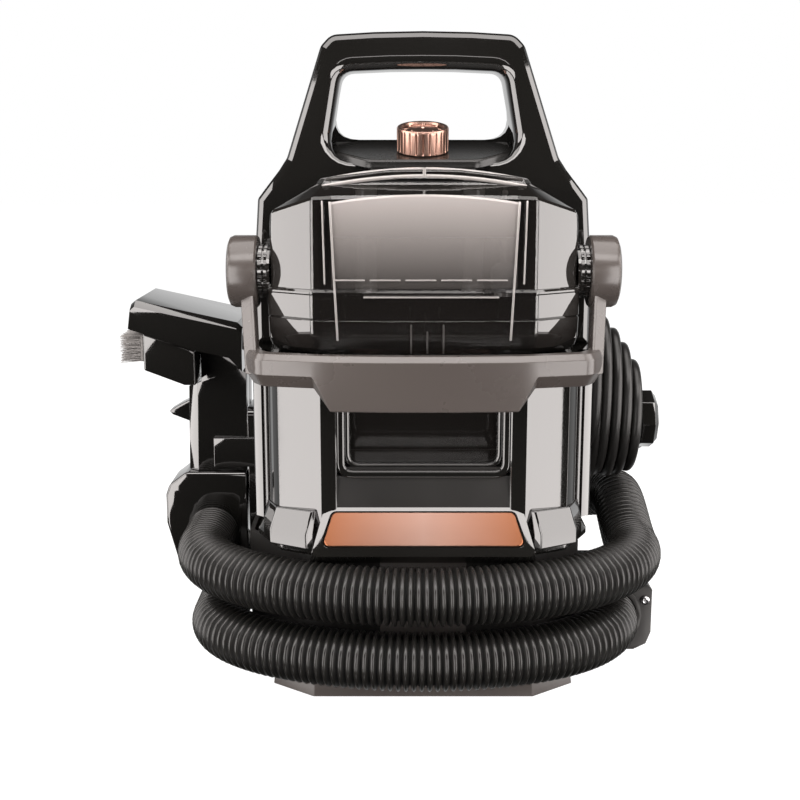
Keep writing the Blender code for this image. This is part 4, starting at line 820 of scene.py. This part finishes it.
def make_front_panel():
    """The satin panel under the bay, and the gloss bumper below it."""
    panel = [(-0.0935, 0.1), (-0.0935, 0.1155), (-0.0905, 0.1325), (-0.086, 0.1335), (-0.086, 0.1)]
    piece("lower_panel", plate("X", -POCKET_HALF - 0.002, POCKET_HALF + 0.002, panel), "machine",
          "satin_black", "front_housing", bevel=0.0008)
    rim = mirrored([(HALF - 0.001, -0.0005, 0), (HALF - 0.001, -0.06, 0.012), (0.0875, -0.0905, 0.01),
                    (0.06, -0.1045, 0.02), (0.03, BUMPER_FRONT, 0.04)])
    rings = [(inset(rim, 0.0016), SHELL_BOTTOM), (rim, SHELL_BOTTOM + 0.0018),
             (rim, BUMPER_EDGE - 0.0012), (inset(rim, 0.0012), BUMPER_EDGE), (inset(rim, 0.0055), 0.1005)]
    skirt = lofted(level_rings(rings))
    piece("bumper_skirt", skirt, "machine", "gloss_black", "front_housing", crease=18.0)


def badge_outline(grow):
    half = [(0.06 + grow * 1.15, -0.0102 - grow, 0.004), (0.054 + grow * 0.75, 0.0105 + grow, 0.004)]
    return mirrored(half, 6)


def badge_rings(steps):
    """Rings on the badge's sloping face from (growth, lift) pairs."""
    up = Vector((0, BUMPER_SETBACK, BUMPER_TOP - BUMPER_EDGE)).normalized()
    along = Vector((1, 0, 0))
    outward = along.cross(up)
    middle = Vector((0, BUMPER_FRONT + BUMPER_SETBACK / 2, (BUMPER_EDGE + BUMPER_TOP) / 2))
    return [[middle + along * u + up * v + outward * lift for u, v in badge_outline(grow)]
            for grow, lift in steps]


def make_badge():
    """The copper badge in its frame, and the wedges at the bumper's corners."""
    frame_steps = ((0.0075, -0.01), (0.006, -0.0004), (0.0018, 0.0003), (0.0008, 0.0003),
                   (0.0006, -0.0007))
    piece("badge_frame", lofted(badge_rings(frame_steps)), "machine", "gloss_black", "front_housing",
          crease=15.0)
    rings = badge_rings(((0.0, 0.0002), (0.0, 0.0009), (-0.0004, 0.0013)))
    piece("badge_plate", lofted(rings), "machine", "copper", "front_badge", crease=20.0,
          finish="copper_plate")
    for label, side in SIDES:
        back = [(0.088, -0.07), (0.066, -0.088)]
        low = [(0.0655, -0.101), (0.07, -0.1035), (0.0925, -0.0905), (0.0985, -0.07)] + back
        top = [(0.064, -0.095), (0.0665, -0.0965), (0.0885, -0.0868), (0.096, -0.069)] + back
        low, top = [[(side * x, y) for x, y in outline] for outline in (low, top)]
        rings = level_rings([(low, 0.0905), (low, 0.0995), (top, 0.1125)])
        piece(f"corner_wedge_{label}", lofted(rings), "machine", "gloss_black", "front_housing",
              bevel=0.0009, segments=2)


make_handle_half("handle_front", "front_housing", -1, DECK_FRONT_HEIGHT - 0.001)
make_handle_half("handle_rear", "rear_housing", 1, OPENING_BOTTOM)
make_columns()
make_recess()
make_front_panel()
make_badge()


# Rear housing, base and control deck

def make_rear_body():
    plan = mirrored([(HALF, GAP / 2, 0), (HALF, 0.078, 0.012), (0.084, 0.104, 0.012), (0, 0.108, 0.08)])
    rings = [(inset(plan, 0.003), SHELF_HEIGHT - 0.003), (inset(plan, 0.003), SHELL_BOTTOM + 0.0006),
             (inset(plan, 0.002), SHELL_BOTTOM), (plan, SHELL_BOTTOM + 0.002),
             (plan, SHELF_HEIGHT - 0.0015), (inset(plan, 0.0015), SHELF_HEIGHT)]
    body = lofted(level_rings(rings))
    piece("rear_body", body, "machine", "gloss_black", "rear_housing", crease=20.0)
    spine = mirrored([(HALF, SHELF_HEIGHT - 0.004, 0), (HALF, COLUMN_TOP, 0)])
    piece("rear_spine", plate("Y", GAP / 2, SPINE_BACK, spine), "machine", "gloss_black", "rear_housing",
          bevel=0.001)


def make_base():
    softened("base_shell", "base_pan", "machine", "satin_black", 0.0008, segments=2, finish="base_grey")
    drum = rounded([(0.099, -0.06, 0.02), (0.07, -0.093, 0.02), (-0.07, -0.093, 0.02),
                    (-0.11, -0.048, 0.008), (-0.11, 0.04, 0.01), (-0.07, 0.094, 0.02),
                    (0.07, 0.094, 0.02), (0.099, 0.06, 0.02)])
    floor, wall = 0.0078, 0.003
    rings = stepped_rings(drum, ((0.002, floor), (0.0, floor + 0.0022), (0.0, SHELL_BOTTOM - 0.0008),
                                 (wall, SHELL_BOTTOM - 0.0004), (wall, floor + 0.0006)))
    piece("base_pedestal", closed_band(rings), "machine", "satin_black", "base_pan", crease=30.0)
    for number in range(1, 5):
        node = f"base_foot_{number}"
        low, high, radius, middle = upright(node)
        profile = [(0, low), (radius - 0.0008, low), (radius, low + 0.0006), (radius, high), (0, high)]
        foot = turned(profile, middle, (0, 0, 1), 32)
        piece(f"rubber_foot_{number}", foot, "machine", "rubber", node)


def make_deck():
    """The sloping deck round the dial: a tray with a fine lip, on a narrower neck with two posts."""
    slope = math.tan(DECK_TILT)

    def level(y, drop):
        return DECK_FRONT_HEIGHT + 0.0004 + (y - DECK_FRONT) * slope - drop

    plan = mirrored([(0.056, -0.0006, 0), (0.056, -0.025, 0.014), (0.034, -0.0464, 0.013)], 8)
    rings = [[Vector((x, y, level(y, drop))) for x, y in inset(plan, step)]
             for step, drop in ((0.0016, 0.0056), (0.0, 0.0046), (0.0, 0.0012), (0.0006, 0.0002),
                                (0.0014, -0.0002), (0.0022, 0.0))]
    piece("deck_tray", lofted(rings), "machine", "gloss_black", "control_deck", crease=50.0,
          finish="deck_black")
    neck = mirrored([(0.044, -0.0095, 0), (0.044, -0.0385, 0.004)], 4)
    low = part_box("control_deck")[0]
    rings = [[Vector((x, y, low.z)) for x, y in neck], [Vector((x, y, level(y, 0.005))) for x, y in neck]]
    piece("deck_neck", lofted(rings), "machine", "gloss_black", "control_deck", crease=40.0)
    for label, x in (("left", -0.0285), ("right", 0.0285)):
        profile = [(0, low.z), (0.0034, low.z), (0.0034, level(-0.043, 0.006)),
                   (0.004, level(-0.043, 0.0048)), (0, level(-0.043, 0.0046))]
        post = turned(profile, (x, -0.042, 0), (0, 0, 1), 24)
        piece(f"deck_post_{label}", post, "machine", "satin_black", "control_deck", crease=40.0)


make_rear_body()
make_base()
make_deck()


# Knob

def make_knob():
    tilt_axis = Vector((0, -math.sin(DECK_TILT), math.cos(DECK_TILT)))
    base = Vector((0, KNOB_Y, DECK_FRONT_HEIGHT + (KNOB_Y - DECK_FRONT) * math.tan(DECK_TILT)))
    turn = tilt_axis.to_track_quat("Z", "Y").to_matrix().to_4x4()
    place = Matrix.Translation(base + tilt_axis * 0.0005) @ turn
    flutes, per_flute, notches = 24, 8, 8

    def ring(radius, height, flute_depth, notch_depth=0.0):
        points = []
        for i in range(flutes * per_flute):
            angle = 2 * math.pi * i / (flutes * per_flute)
            groove = max(0.0, math.cos(flutes * angle)) ** 6
            notch = max(0.0, math.cos(notches * angle + math.pi / 8)) ** 10
            reach = radius - flute_depth * groove
            points.append(place @ Vector((reach * math.cos(angle), reach * math.sin(angle),
                                          height - notch_depth * notch)))
        return points

    edge, top = KNOB_RADIUS, KNOB_HEIGHT
    steps = ((edge - 0.0005, 0.0, 0.0), (edge, 0.0006, 0.0), (edge, 0.0022, 0.0009),
             (edge, top - 0.0026, 0.0009), (edge, top - 0.0012, 0.0002),
             (edge - 0.0006, top - 0.0003, 0.0), (edge - 0.0014, top, 0.0),
             (edge - 0.0028, top - 0.0003, 0.0), (edge - 0.0034, top - 0.0016, 0.0),
             (edge - 0.0042, top - 0.0019, 0.0, 0.0016), (edge - 0.0064, top - 0.0016, 0.0, 0.0014),
             (edge - 0.0074, top - 0.0013, 0.0), (0.0016, top - 0.0009, 0.0), (0.0011, top - 0.0016, 0.0))
    rings = [ring(*step) for step in steps]
    piece("mode_dial", lofted(rings), "knob", "copper", "mode_knob", crease=34.0)


make_knob()


# Dirty tank, lid, ducts and float

def crowned(points, rise, half_width):
    """Drop points towards the sides, so that what was level becomes a crown."""
    return [Vector((p.x, p.y, p.z - rise * (p.x / half_width) ** 2)) for p in points]


def tank_corners(grow=0.0):
    half = [(TANK_HALF + grow, TANK_BACK, 0), (TANK_HALF + grow, -0.078 - grow * 0.4, 0.004),
            (0.0655 + grow * 0.4, -0.095 - grow, 0.006), (PANE_HALF, -0.0962 - grow, 0.01),
            (0.02, -0.0982 - grow, 0.05)]
    return mirrored(half, 4)


def mouth_corners(grow=0.0):
    half = [(MOUTH_HALF + grow, TANK_BACK, 0), (MOUTH_HALF + grow, -0.0752 - grow * 0.5, 0.003),
            (0.058 + grow, -0.0812 - grow, 0.003), (0.054 + grow, -0.082 - grow, 0.003),
            (0.02, -0.0835 - grow, 0.05)]
    return mirrored(half, 4)


def make_tank():
    foot, groove, ledge = TANK_BOTTOM, GROOVE_HEIGHT, LEDGE_HEIGHT
    wall = ((-0.012, foot), (-0.0052, foot + 0.0016), (-0.0018, foot + 0.0048), (-0.0002, foot + 0.01),
            (0.0, groove - 0.0008), (-0.0008, groove), (0.0, groove + 0.0008), (0.0, ledge - 0.0022),
            (0.0006, ledge - 0.0014), (0.0006, ledge - 0.0004), (-0.0006, ledge + 0.0008),
            (-0.0016, ledge + 0.0012), (-0.0016, SHOULDER_HEIGHT))
    rings = level_rings([(tank_corners(grow), z) for grow, z in wall])

    def shoulder(grow, low, high):
        start, run = -0.07, 0.024
        return [Vector((x, y, low + (high - low) * min(1.0, max(0.0, (start - y) / run))))
                for x, y in tank_corners(grow)]

    rings.append(shoulder(-0.002, 0.2832, 0.2962))
    rings.append(shoulder(-0.0032, 0.2856, 0.2986))
    mouth = mouth_corners(0.0)
    lip = inset(mouth, 0.0006)
    rings += level_rings([(mouth_corners(0.0006), 0.304), (mouth, 0.3052), (lip, 0.3054), (lip, 0.301)])
    piece("tank_shell", lofted(rings, cap_end=False), "dirty_tank", "smoky_clear", "dirty_tank",
          crease=22.0)
    trunk_half = POCKET_HALF - 0.001
    trunk = mirrored([(trunk_half, TANK_BACK, 0), (trunk_half, -0.086, 0.004)])
    rings = stepped_rings(trunk, ((0.002, SHELF_HEIGHT + GAP), (0.0, SHELF_HEIGHT + 0.0025),
                                  (0.0, foot - 0.0004)))
    piece("tank_trunk", lofted(rings), "dirty_tank", "smoky_clear", "dirty_tank", crease=30.0)
    make_window()
    make_tank_ribs()
    for label, side in SIDES:
        make_boss(label, side)


def front_wall(x):
    """The outer face of the tank's front wall above its ledge."""
    return PANE_FRONT + 0.0022 * min(1.0, (x / PANE_HALF) ** 2)


def make_window():
    """The smoky clear front pane between the tank's corner posts, crowned along its top; its finish is
    painted pale near the top and dark low down as painted light and shade.
    """
    sections = []
    columns = 24
    bottom, crown, fall = LEDGE_HEIGHT + 0.0016, 0.299, 0.0045
    for i in range(columns + 1):
        x = PANE_HALF * (2 * i / columns - 1)
        top = crown - fall * (x / PANE_HALF) ** 2
        outer = front_wall(x) - 0.0009
        edge, inner = outer + 0.0008, outer + 0.0016
        sections.append([Vector((x, edge, bottom)), Vector((x, outer, LEDGE_HEIGHT + 0.0026)),
                         Vector((x, outer, top - 0.0012)), Vector((x, edge, top)),
                         Vector((x, inner, top)), Vector((x, inner, bottom))])
    piece("tank_window", lofted(sections), "dirty_tank", "smoky_clear", "dirty_tank", crease=30.0,
          finish="clear_window")


def make_tank_ribs():
    """Leaning ribs on the front wall, a broken level rib, a bead, and short fins low in the tank."""
    bars = []
    for label, side in SIDES:
        bars.append((f"tank_rib_{label}", side * 0.0502, side * 0.054, 0.0013, -0.0972,
                     TANK_BOTTOM + 0.01, 0.295))
        bars.append((f"tank_edge_{label}", side * 0.0574, side * 0.0584, 0.001, -0.0966, 0.248, 0.2955))
    for i in range(3):
        x = -0.0075 + 0.0095 * i
        bars.append((f"tank_fin_{i + 1}", x, x, 0.0011, -0.09, TANK_BOTTOM + 0.001,
                     0.2235 - 0.004 * (i == 1)))
    bars.append(("tank_bead", 0.004, 0.004, 0.078, -0.099, 0.2402, 0.2411))
    for i in range(5):
        x = -0.043 + 0.0205 * i
        bars.append((f"tank_dash_{i + 1}", x, x, 0.0178, -0.0984, 0.25, 0.2508))
    for name, low_x, high_x, width, front, low, high in bars:
        outline = rounded([(-width / 2, front, 0.0004), (width / 2, front, 0.0004),
                           (width / 2, front + 0.003, 0.0004), (-width / 2, front + 0.003, 0.0004)], 3)
        rings = [[Vector((low_x + u, v, low)) for u, v in outline],
                 [Vector((high_x + u, v, high - 0.0003)) for u, v in outline],
                 [Vector((high_x + u, v, high)) for u, v in inset(outline, 0.0003)]]
        # The pale clear_rail finish paints a highlight on these ribs, the bead and the dashes.
        piece(name, lofted(rings), "dirty_tank", "smoky_clear", "dirty_tank", crease=50.0,
              finish="clear_rail")


def make_boss(label, side):
    """A fluted clear hub that the bail turns on."""
    ridges, per_ridge = 18, 6

    def ring(radius, along, depth):
        points = []
        for i in range(ridges * per_ridge):
            angle = 2 * math.pi * i / (ridges * per_ridge)
            reach = radius - depth * (0.5 - 0.5 * math.cos(ridges * angle))
            points.append(Vector((side * along, BAIL_PIVOT.y + reach * math.cos(angle),
                                  BAIL_PIVOT.z + reach * math.sin(angle))))
        return points

    near, far = TANK_HALF - 0.001, TANK_HALF + 0.0062
    steps = ((0.015, near, 0.0), (0.015, near + 0.0016, 0.0), (0.016, near + 0.0018, 0.0012),
             (0.016, near + 0.0034, 0.0012), (0.0146, near + 0.0036, 0.0), (0.0146, near + 0.0046, 0.0),
             (0.016, near + 0.0048, 0.0012), (0.016, far - 0.0004, 0.0012), (0.015, far, 0.0))
    rings = [ring(*step) for step in steps]
    piece(f"tank_hub_{label}", lofted(rings), "dirty_tank", "smoky_clear", "dirty_tank", crease=40.0)
    node = f"bail_pin_{label}"
    low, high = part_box(node)
    radius = (high.z - low.z) / 2
    start, end = (low.x, high.x) if side > 0 else (-high.x, -low.x)
    profile = [(0, start), (radius, start), (radius, end - 0.0008), (radius - 0.0008, end), (0, end)]
    pin = turned(profile, (0, BAIL_PIVOT.y, BAIL_PIVOT.z), (side, 0, 0), 24)
    piece(f"hub_pin_{label}", pin, "dirty_tank", "steel", node)


def make_lid():
    low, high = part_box("tank_lid")
    top = high.z
    rings = []
    for grow, drop in ((-0.002, 0.006), (0.0, 0.0056), (0.0008, 0.0048), (0.0002, 0.0038),
                       (-0.001, 0.0034), (-0.0012, 0.0028), (-0.0004, 0.0022), (-0.0006, 0.001),
                       (-0.0016, 0.0002), (-0.003, 0.0), (-0.006, 0.0006), (-0.0066, 0.0016)):
        ring = [Vector((x, y, top - drop)) for x, y in mouth_corners(grow)]
        rings.append(crowned(ring, LID_CROWN * (0.3 if drop > 0.0055 else 1.0), MOUTH_HALF))
    piece("lid_shell", lofted(rings), "tank_lid", "smoky_clear", "tank_lid", crease=40.0)
    for name, reach, front, height in (("lid_rail_upper", 0.057, -0.0782, top - 0.0004),
                                       ("lid_rail_lower", 0.059, -0.0832, top - 0.0042)):
        points = []
        steps = 40
        for i in range(steps + 1):
            share = 2 * i / steps - 1
            points.append(Vector((reach * share, front + 0.0018 * share ** 4,
                                  height - LID_CROWN * share * share)))
        rail = tube(name, points, 0.0024, 12)
        # The pale clear_rail finish paints a highlight on the lid's rails.
        settle(rail, "tank_lid", "smoky_clear", ["tank_lid"], "clear_rail")
    seam = rounded([(-0.001, -0.0848, 0.0006), (0.001, -0.0848, 0.0006), (0.001, -0.0755, 0.0004),
                    (-0.001, -0.0755, 0.0004)], 2)
    piece("lid_seam", plate("Z", top - 0.005, top + 0.0008, seam), "tank_lid", "smoky_clear", "tank_lid",
          finish="clear_rail")
    gasket = mouth_corners(-0.001)
    low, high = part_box("tank_gasket")
    width, edge = 0.0022, 0.0003
    rings = stepped_rings(gasket, ((0.0, low.z), (0.0, high.z - edge), (width, high.z),
                                   (width, low.z + edge)))
    piece("lid_gasket", closed_band(rings), "tank_lid", "rubber", "tank_gasket")
    for node in ("inlet_duct", "outlet_duct"):
        low, high, radius, middle = upright(node)
        profile = [(radius - 0.0015, low + 0.0004), (radius - 0.0008, low), (radius, low + 0.0008),
                   (radius, low + 0.004), (radius - 0.0008, low + 0.005), (radius - 0.0004, high),
                   (radius - 0.0019, high)]
        post = turned(profile, middle, (0, 0, 1), 40)
        piece(node + "_tube", post, "tank_lid", "smoky_clear", node, finish="clear_rail")
    make_float()


def make_float():
    low, high, _, middle = upright("float_guide")
    beads = 16
    profile = [(0, low), (0.006, low), (0.006, low + 0.002)]
    start = low + 0.003
    for i in range(beads):
        for share, radius in ((0.0, 0.001), (0.3, 0.0019), (0.6, 0.0019), (0.9, 0.001)):
            profile.append((radius, start + (high - start - 0.001) * (i + share) / beads))
    profile.append((0, high))
    piece("float_chain", turned(profile, middle, (0, 0, 1), 20), "tank_lid", "smoky_clear", "float_guide",
          crease=50.0, finish="clear_rail")
    low, high, radius = upright("tank_float")[:3]
    profile = [(0.0023, low), (radius - 0.0015, low), (radius, low + 0.0015), (radius, high - 0.003),
               (radius - 0.003, high), (0.0023, high)]
    piece("float_ball", turned(profile, middle, (0, 0, 1), 36), "float", "motor_grey", "tank_float")


make_tank()
make_lid()


# Bail

def bail_section(outer, inner):
    """The bail's bar across its run: a strip along its top edge, and a bevel under its raised ends."""
    top, strip_height, strip_depth = BAIL_TOP, 0.0036, 0.0021
    step_run, step_rise = 0.0105, 0.0125
    share = eased(0.0, 1.0, (abs(outer[0]) - BAIL_STEP) / step_run)
    bottom = BAIL_BOTTOM + step_rise * share
    bevel_height, bevel_depth = 0.0006 + 0.0068 * share, 0.0006 + 0.004 * share
    across = Vector((inner[0] - outer[0], inner[1] - outer[1]))
    reach = across.length

    def at(depth, z):
        point = Vector(outer) + across * depth / reach
        return Vector((point.x, point.y, z))

    return [at(reach, top), at(strip_depth, top), at(0, top - strip_height), at(0, bottom + bevel_height),
            at(bevel_depth, bottom), at(reach, bottom)]


def make_bail():
    corner = TANK_HALF + 0.012
    outer = [(corner, -0.088, 0), (corner, -0.098, 0.012), (corner - 0.008, -0.112, 0.012),
             (0.064, -0.1194, 0), (BAIL_STEP, -0.1214, 0), (0.02, -0.1235, 0.08)]
    inner = [(corner - 0.008, -0.088, 0), (corner - 0.008, -0.0945, 0.008),
             (corner - 0.0145, -0.1045, 0.008), (0.0625, -0.1118, 0), (0.0522, -0.1135, 0),
             (0.02, -0.1155, 0.08)]
    pairs = zip(mirrored(outer, 6), mirrored(inner, 6))
    bar = lofted([bail_section(front, back) for front, back in pairs])
    piece("bail_bar", bar, "bail", "warm_grey", "bail", bevel=0.0006, segments=2, crease=24.0)
    near = TANK_HALF + 0.0065
    facet, facet_depth = 0.0064, 0.0044
    for label, side in SIDES:
        rings = []
        front_end = (corner - 0.008, corner - 0.0004, -0.106, -0.0885, 0.1965)
        disc_end = (near + 0.0022, near + 0.0103, -0.0793, -0.0605, BAIL_PIVOT.z - 0.0085)
        for inside, outside, front, back, z in (front_end, disc_end):
            section = ((inside, front), (outside - facet, front), (outside, front + facet_depth),
                       (outside, back), (inside, back))
            rings.append([Vector((side * x, y, z)) for x, y in section])
        piece(f"bail_arm_{label}", lofted(rings), "bail", "warm_grey", "bail", bevel=0.0006, segments=2,
              crease=24.0)
        radius, far = 0.0215, near + 0.0175
        profile = [(0.0043, near), (radius - 0.001, near), (radius, near + 0.001), (radius, far - 0.0036),
                   (radius - 0.0011, far - 0.0011), (radius - 0.0036, far), (0.0043, far)]
        disc = turned(profile, (0, BAIL_PIVOT.y, BAIL_PIVOT.z), (side, 0, 0), 56)
        piece(f"bail_disc_{label}", disc, "bail", "warm_grey", "bail", crease=40.0)


make_bail()


# Clean tank

def make_clean_tank():
    softened("clean_tank_shell", "clean_tank", "clean_tank", "smoky_clear", 0.0008)
    softened("clean_tank_roof", "clean_tank_top", "clean_tank", "smoky_clear", 0.0008)
    low, high, radius, centre = upright("clean_tank_cap")
    ribs, per_rib = 30, 6

    def ring(reach, height, depth):
        points = []
        for i in range(ribs * per_rib):
            angle = 2 * math.pi * i / (ribs * per_rib)
            out = reach - depth * (0.5 - 0.5 * math.cos(ribs * angle)) ** 2
            points.append(centre + Vector((out * math.cos(angle), out * math.sin(angle), height)))
        return points

    steps = ((radius - 0.0005, low, 0.0), (radius, low + 0.0006, 0.0), (radius, low + 0.0012, 0.0009),
             (radius, high - 0.0028, 0.0009), (radius - 0.0008, high - 0.001, 0.0),
             (radius - 0.0022, high, 0.0), (radius - 0.006, high, 0.0),
             (radius - 0.0066, high - 0.0012, 0.0))
    rings = [ring(*step) for step in steps]
    piece("filler_cap", lofted(rings), "cap", "gloss_black", "clean_tank_cap", crease=40.0)


make_clean_tank()


# Hand tool

def make_tool():
    for node, face in (("grip_front", 0.014), ("grip_rear", 0.046)):
        bm = packed_copy(node)
        inward = 1 if face < TOOL_Y else -1
        cut(bm, (0, face + inward * 0.0052, 0), (0, 1, 0))
        for vert in bm.verts:
            depth = inward * (vert.co.y - face)
            if depth < 0.003 and vert.co.x < TOOL_BACK - 0.0345:
                vert.co.x += 0.0066
                vert.co.z += 0.0031 if vert.co.z > 0.16 else 0.0
        piece(node + "_shell", bm, "machine", "gloss_black", node, bevel=0.0005, segments=2)
    softened("tool_rest", "tool_cradle", "machine", "gloss_black", 0.0004)
    skirt = rounded([(0.012, 0.062, 0.004), (0.012, 0.152, 0.006), (0.048, 0.152, 0.006),
                     (0.048, 0.062, 0.004)], 4)
    piece("rest_skirt", plate("X", TOOL_BACK + GAP, -HALF - GAP, skirt), "machine", "gloss_black",
          "tool_cradle", bevel=0.0004)
    softened("spray_trigger", "trigger", "trigger", "gloss_black", 0.0009)
    hood = packed_copy("nozzle_cover")
    low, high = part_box("nozzle_cover")
    cut(hood, (0, low.y + 0.0065, 0), (0, 1, 0))
    for vert in hood.verts:
        slope = (high.z - vert.co.z) - 0.22 * (vert.co.x - low.x)
        if vert.co.y < low.y + 0.003 and slope < 0.006:
            vert.co.z -= 0.0036
    piece("nozzle_hood", hood, "tool_head", "gloss_black", "nozzle_cover", bevel=0.0008, crease=20.0)
    softened("brush_body", "brush_block", "tool_head", "gloss_black", 0.0012)
    softened("head_latch", "release_button", "release_button", "satin_black", 0.0006)


def make_bristles():
    """Tufts of tapered strands on a backing strip, splayed a little, in two bands."""
    low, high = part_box("brush_bristles")
    draw = random.Random(7)
    backing = 0.0015
    edge = 0.0006
    outline = rounded([(low.y, low.z, edge), (high.y, low.z, edge), (high.y, high.z, edge),
                       (low.y, high.z, edge)], 2)
    bm = plate("X", high.x - backing, high.x, outline)
    columns, rows = 74, 16
    for row in range(rows):
        for column in range(columns):
            y = low.y + (high.y - low.y) * (column + 0.5 + draw.uniform(-0.3, 0.3)) / columns
            z = low.z + (high.z - low.z) * (row + 0.5 + draw.uniform(-0.3, 0.3)) / rows
            band = 1 if row >= rows / 2 else -1
            reach = (high.x - backing - low.x) * draw.uniform(0.9, 1.0)
            tip = Vector((high.x - backing - reach, y + draw.uniform(-0.001, 0.001),
                          z + band * draw.uniform(-0.0002, 0.001) - 0.0006))
            root = Vector((high.x - backing - 0.0002, y, z))
            made = bmesh.ops.create_cone(bm, cap_ends=True, segments=3, radius1=0.0003, radius2=0.00012,
                                         depth=(tip - root).length)
            turn = (tip - root).to_track_quat("Z", "Y").to_matrix().to_4x4()
            bmesh.ops.transform(bm, matrix=Matrix.Translation((root + tip) / 2) @ turn,
                                verts=made["verts"])
    piece("brush_strands", bm, "tool_head", "bristle", "brush_bristles", crease=70.0)


make_tool()
make_bristles()


# Hose outlet and cord wrap

def make_outlet():
    softened("outlet_housing", "hose_outlet", "machine", "satin_black", 0.001)
    for number in (1, 2):
        node = f"outlet_screw_{number}"
        low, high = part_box(node)
        radius = (high.x - low.x) / 2
        centre = ((low.x + high.x) / 2, high.y, (low.z + high.z) / 2)
        depth = high.y - low.y
        profile = [(0, depth - 0.001), (0.0012, depth - 0.001), (0.0012, depth - 0.0001), (0.0016, depth),
                   (radius - 0.0005, depth - 0.0003), (radius, depth - 0.0009), (radius, 0), (0, 0)]
        piece(f"screw_head_{number}", turned(profile, centre, (0, -1, 0), 24), "machine", "steel", node)


def make_cord_wrap():
    softened("wrap_cap", "cord_wrap_cap", "machine", "gloss_black", 0.001)
    low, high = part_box("cord_wrap_post")
    middle = ((low.y + high.y) / 2, (low.z + high.z) / 2)
    profile = [(0, low.x), (0.0195, low.x), (0.02, low.x + 0.0008), (0.0195, low.x + 0.003),
               (0.0135, low.x + 0.0034), (0.012, low.x + 0.005), (0.012, high.x), (0, high.x)]
    piece("wrap_post", turned(profile, (0, *middle), (1, 0, 0), 40), "machine", "satin_black",
          "cord_wrap_post")


make_outlet()
make_cord_wrap()


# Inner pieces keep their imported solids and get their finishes

def finish_inner_pieces():
    for subpart in frame["record"]["subparts"]:
        node = frame["nodes"][subpart["node"]]
        node.data.materials.clear()
        node.data.materials.append(FINISH[subpart["material_slot"]])


finish_inner_pieces()


# Studio

LIGHT_TINT = (1.0, 0.95, 0.925)
LIGHT_AIM = Vector((0, -0.02, 0.19))


def make_floor():
    bm = bmesh.new()
    bmesh.ops.create_grid(bm, x_segments=2, y_segments=2, size=6.0)
    mesh = bpy.data.meshes.new("studio_floor")
    bm.to_mesh(mesh)
    bm.free()
    floor = bpy.data.objects.new("studio_floor", mesh)
    floor.location = (0, 0, -0.0005)
    finish = Finish("pale_floor")
    finish.set(base_color=(0.2, 0.2, 0.2, 1), roughness=0.9, specular_ior_level=0.0,
               emission_color=(1, 1, 1, 1), emission_strength=1.0)
    mesh.materials.append(finish.material)
    bpy.context.scene.collection.objects.link(floor)
    floor.visible_glossy = False
    floor.visible_diffuse = False
    floor.visible_shadow = False


def make_light(name, azimuth, elevation, distance, width, height, radiance):
    """A soft rectangular light that faces the middle of the machine."""
    data = bpy.data.lights.new(name, "AREA")
    data.shape = "RECTANGLE"
    data.size = width
    data.size_y = height
    data.energy = radiance * width * height * math.pi
    data.color = LIGHT_TINT
    light = bpy.data.objects.new(name, data)
    a, e = math.radians(azimuth), math.radians(elevation)
    away = Vector((math.sin(a) * math.cos(e), -math.cos(a) * math.cos(e), math.sin(e)))
    light.location = LIGHT_AIM + away * distance
    light.rotation_mode = "QUATERNION"
    light.rotation_quaternion = (-away).to_track_quat("-Z", "Y")
    light.visible_camera = False
    bpy.context.scene.collection.objects.link(light)


def make_world():
    """White to the camera; for reflections and light, a glow low down behind the machine."""
    world = bpy.data.worlds.new("studio")
    world.use_nodes = True
    tree = world.node_tree
    background = tree.nodes["Background"]
    path = tree.nodes.new("ShaderNodeLightPath")
    direction = tree.nodes.new("ShaderNodeTexCoord").outputs["Generated"]
    split = add_split(tree, direction)
    behind = add_range(tree, split["Y"], 0.25, 0.85, 0.012, 0.60)
    low_down = add_range(tree, split["Z"], 0.25, 0.42, 1.0, 0.06)
    glow = add_math(tree, "MULTIPLY", behind, low_down)
    seen = tree.nodes.new("ShaderNodeMix")
    seen.data_type = "FLOAT"
    tree.links.new(path.outputs["Is Camera Ray"], seen.inputs["Factor"])
    tree.links.new(glow, seen.inputs["A"])
    seen.inputs["B"].default_value = 1.0
    background.inputs["Color"].default_value = (1, 1, 1, 1)
    tree.links.new(seen.outputs["Result"], background.inputs["Strength"])
    bpy.context.scene.world = world
    bpy.context.scene.view_settings.view_transform = "Standard"


def make_lights():
    for side in (-1, 1):
        make_light(f"strip_{side}", side * 39, -4, 1.5, 0.60, 1.3, 5.6)
        make_light(f"side_box_{side}", side * 77, 10, 1.3, 0.95, 1.55, 4.6)
    make_light("overhead_box", 0, 88, 1.3, 2.0, 1.15, 3.0)
    make_light("front_high", 0, 52, 1.3, 1.9, 0.46, 6.0)
    make_light("front_band", 0, 12, 1.5, 0.8, 0.12, 2.6)
    make_light("low_kicker", 0, -48, 1.2, 0.5, 0.16, 3.0)


make_floor()
make_lights()
make_world()
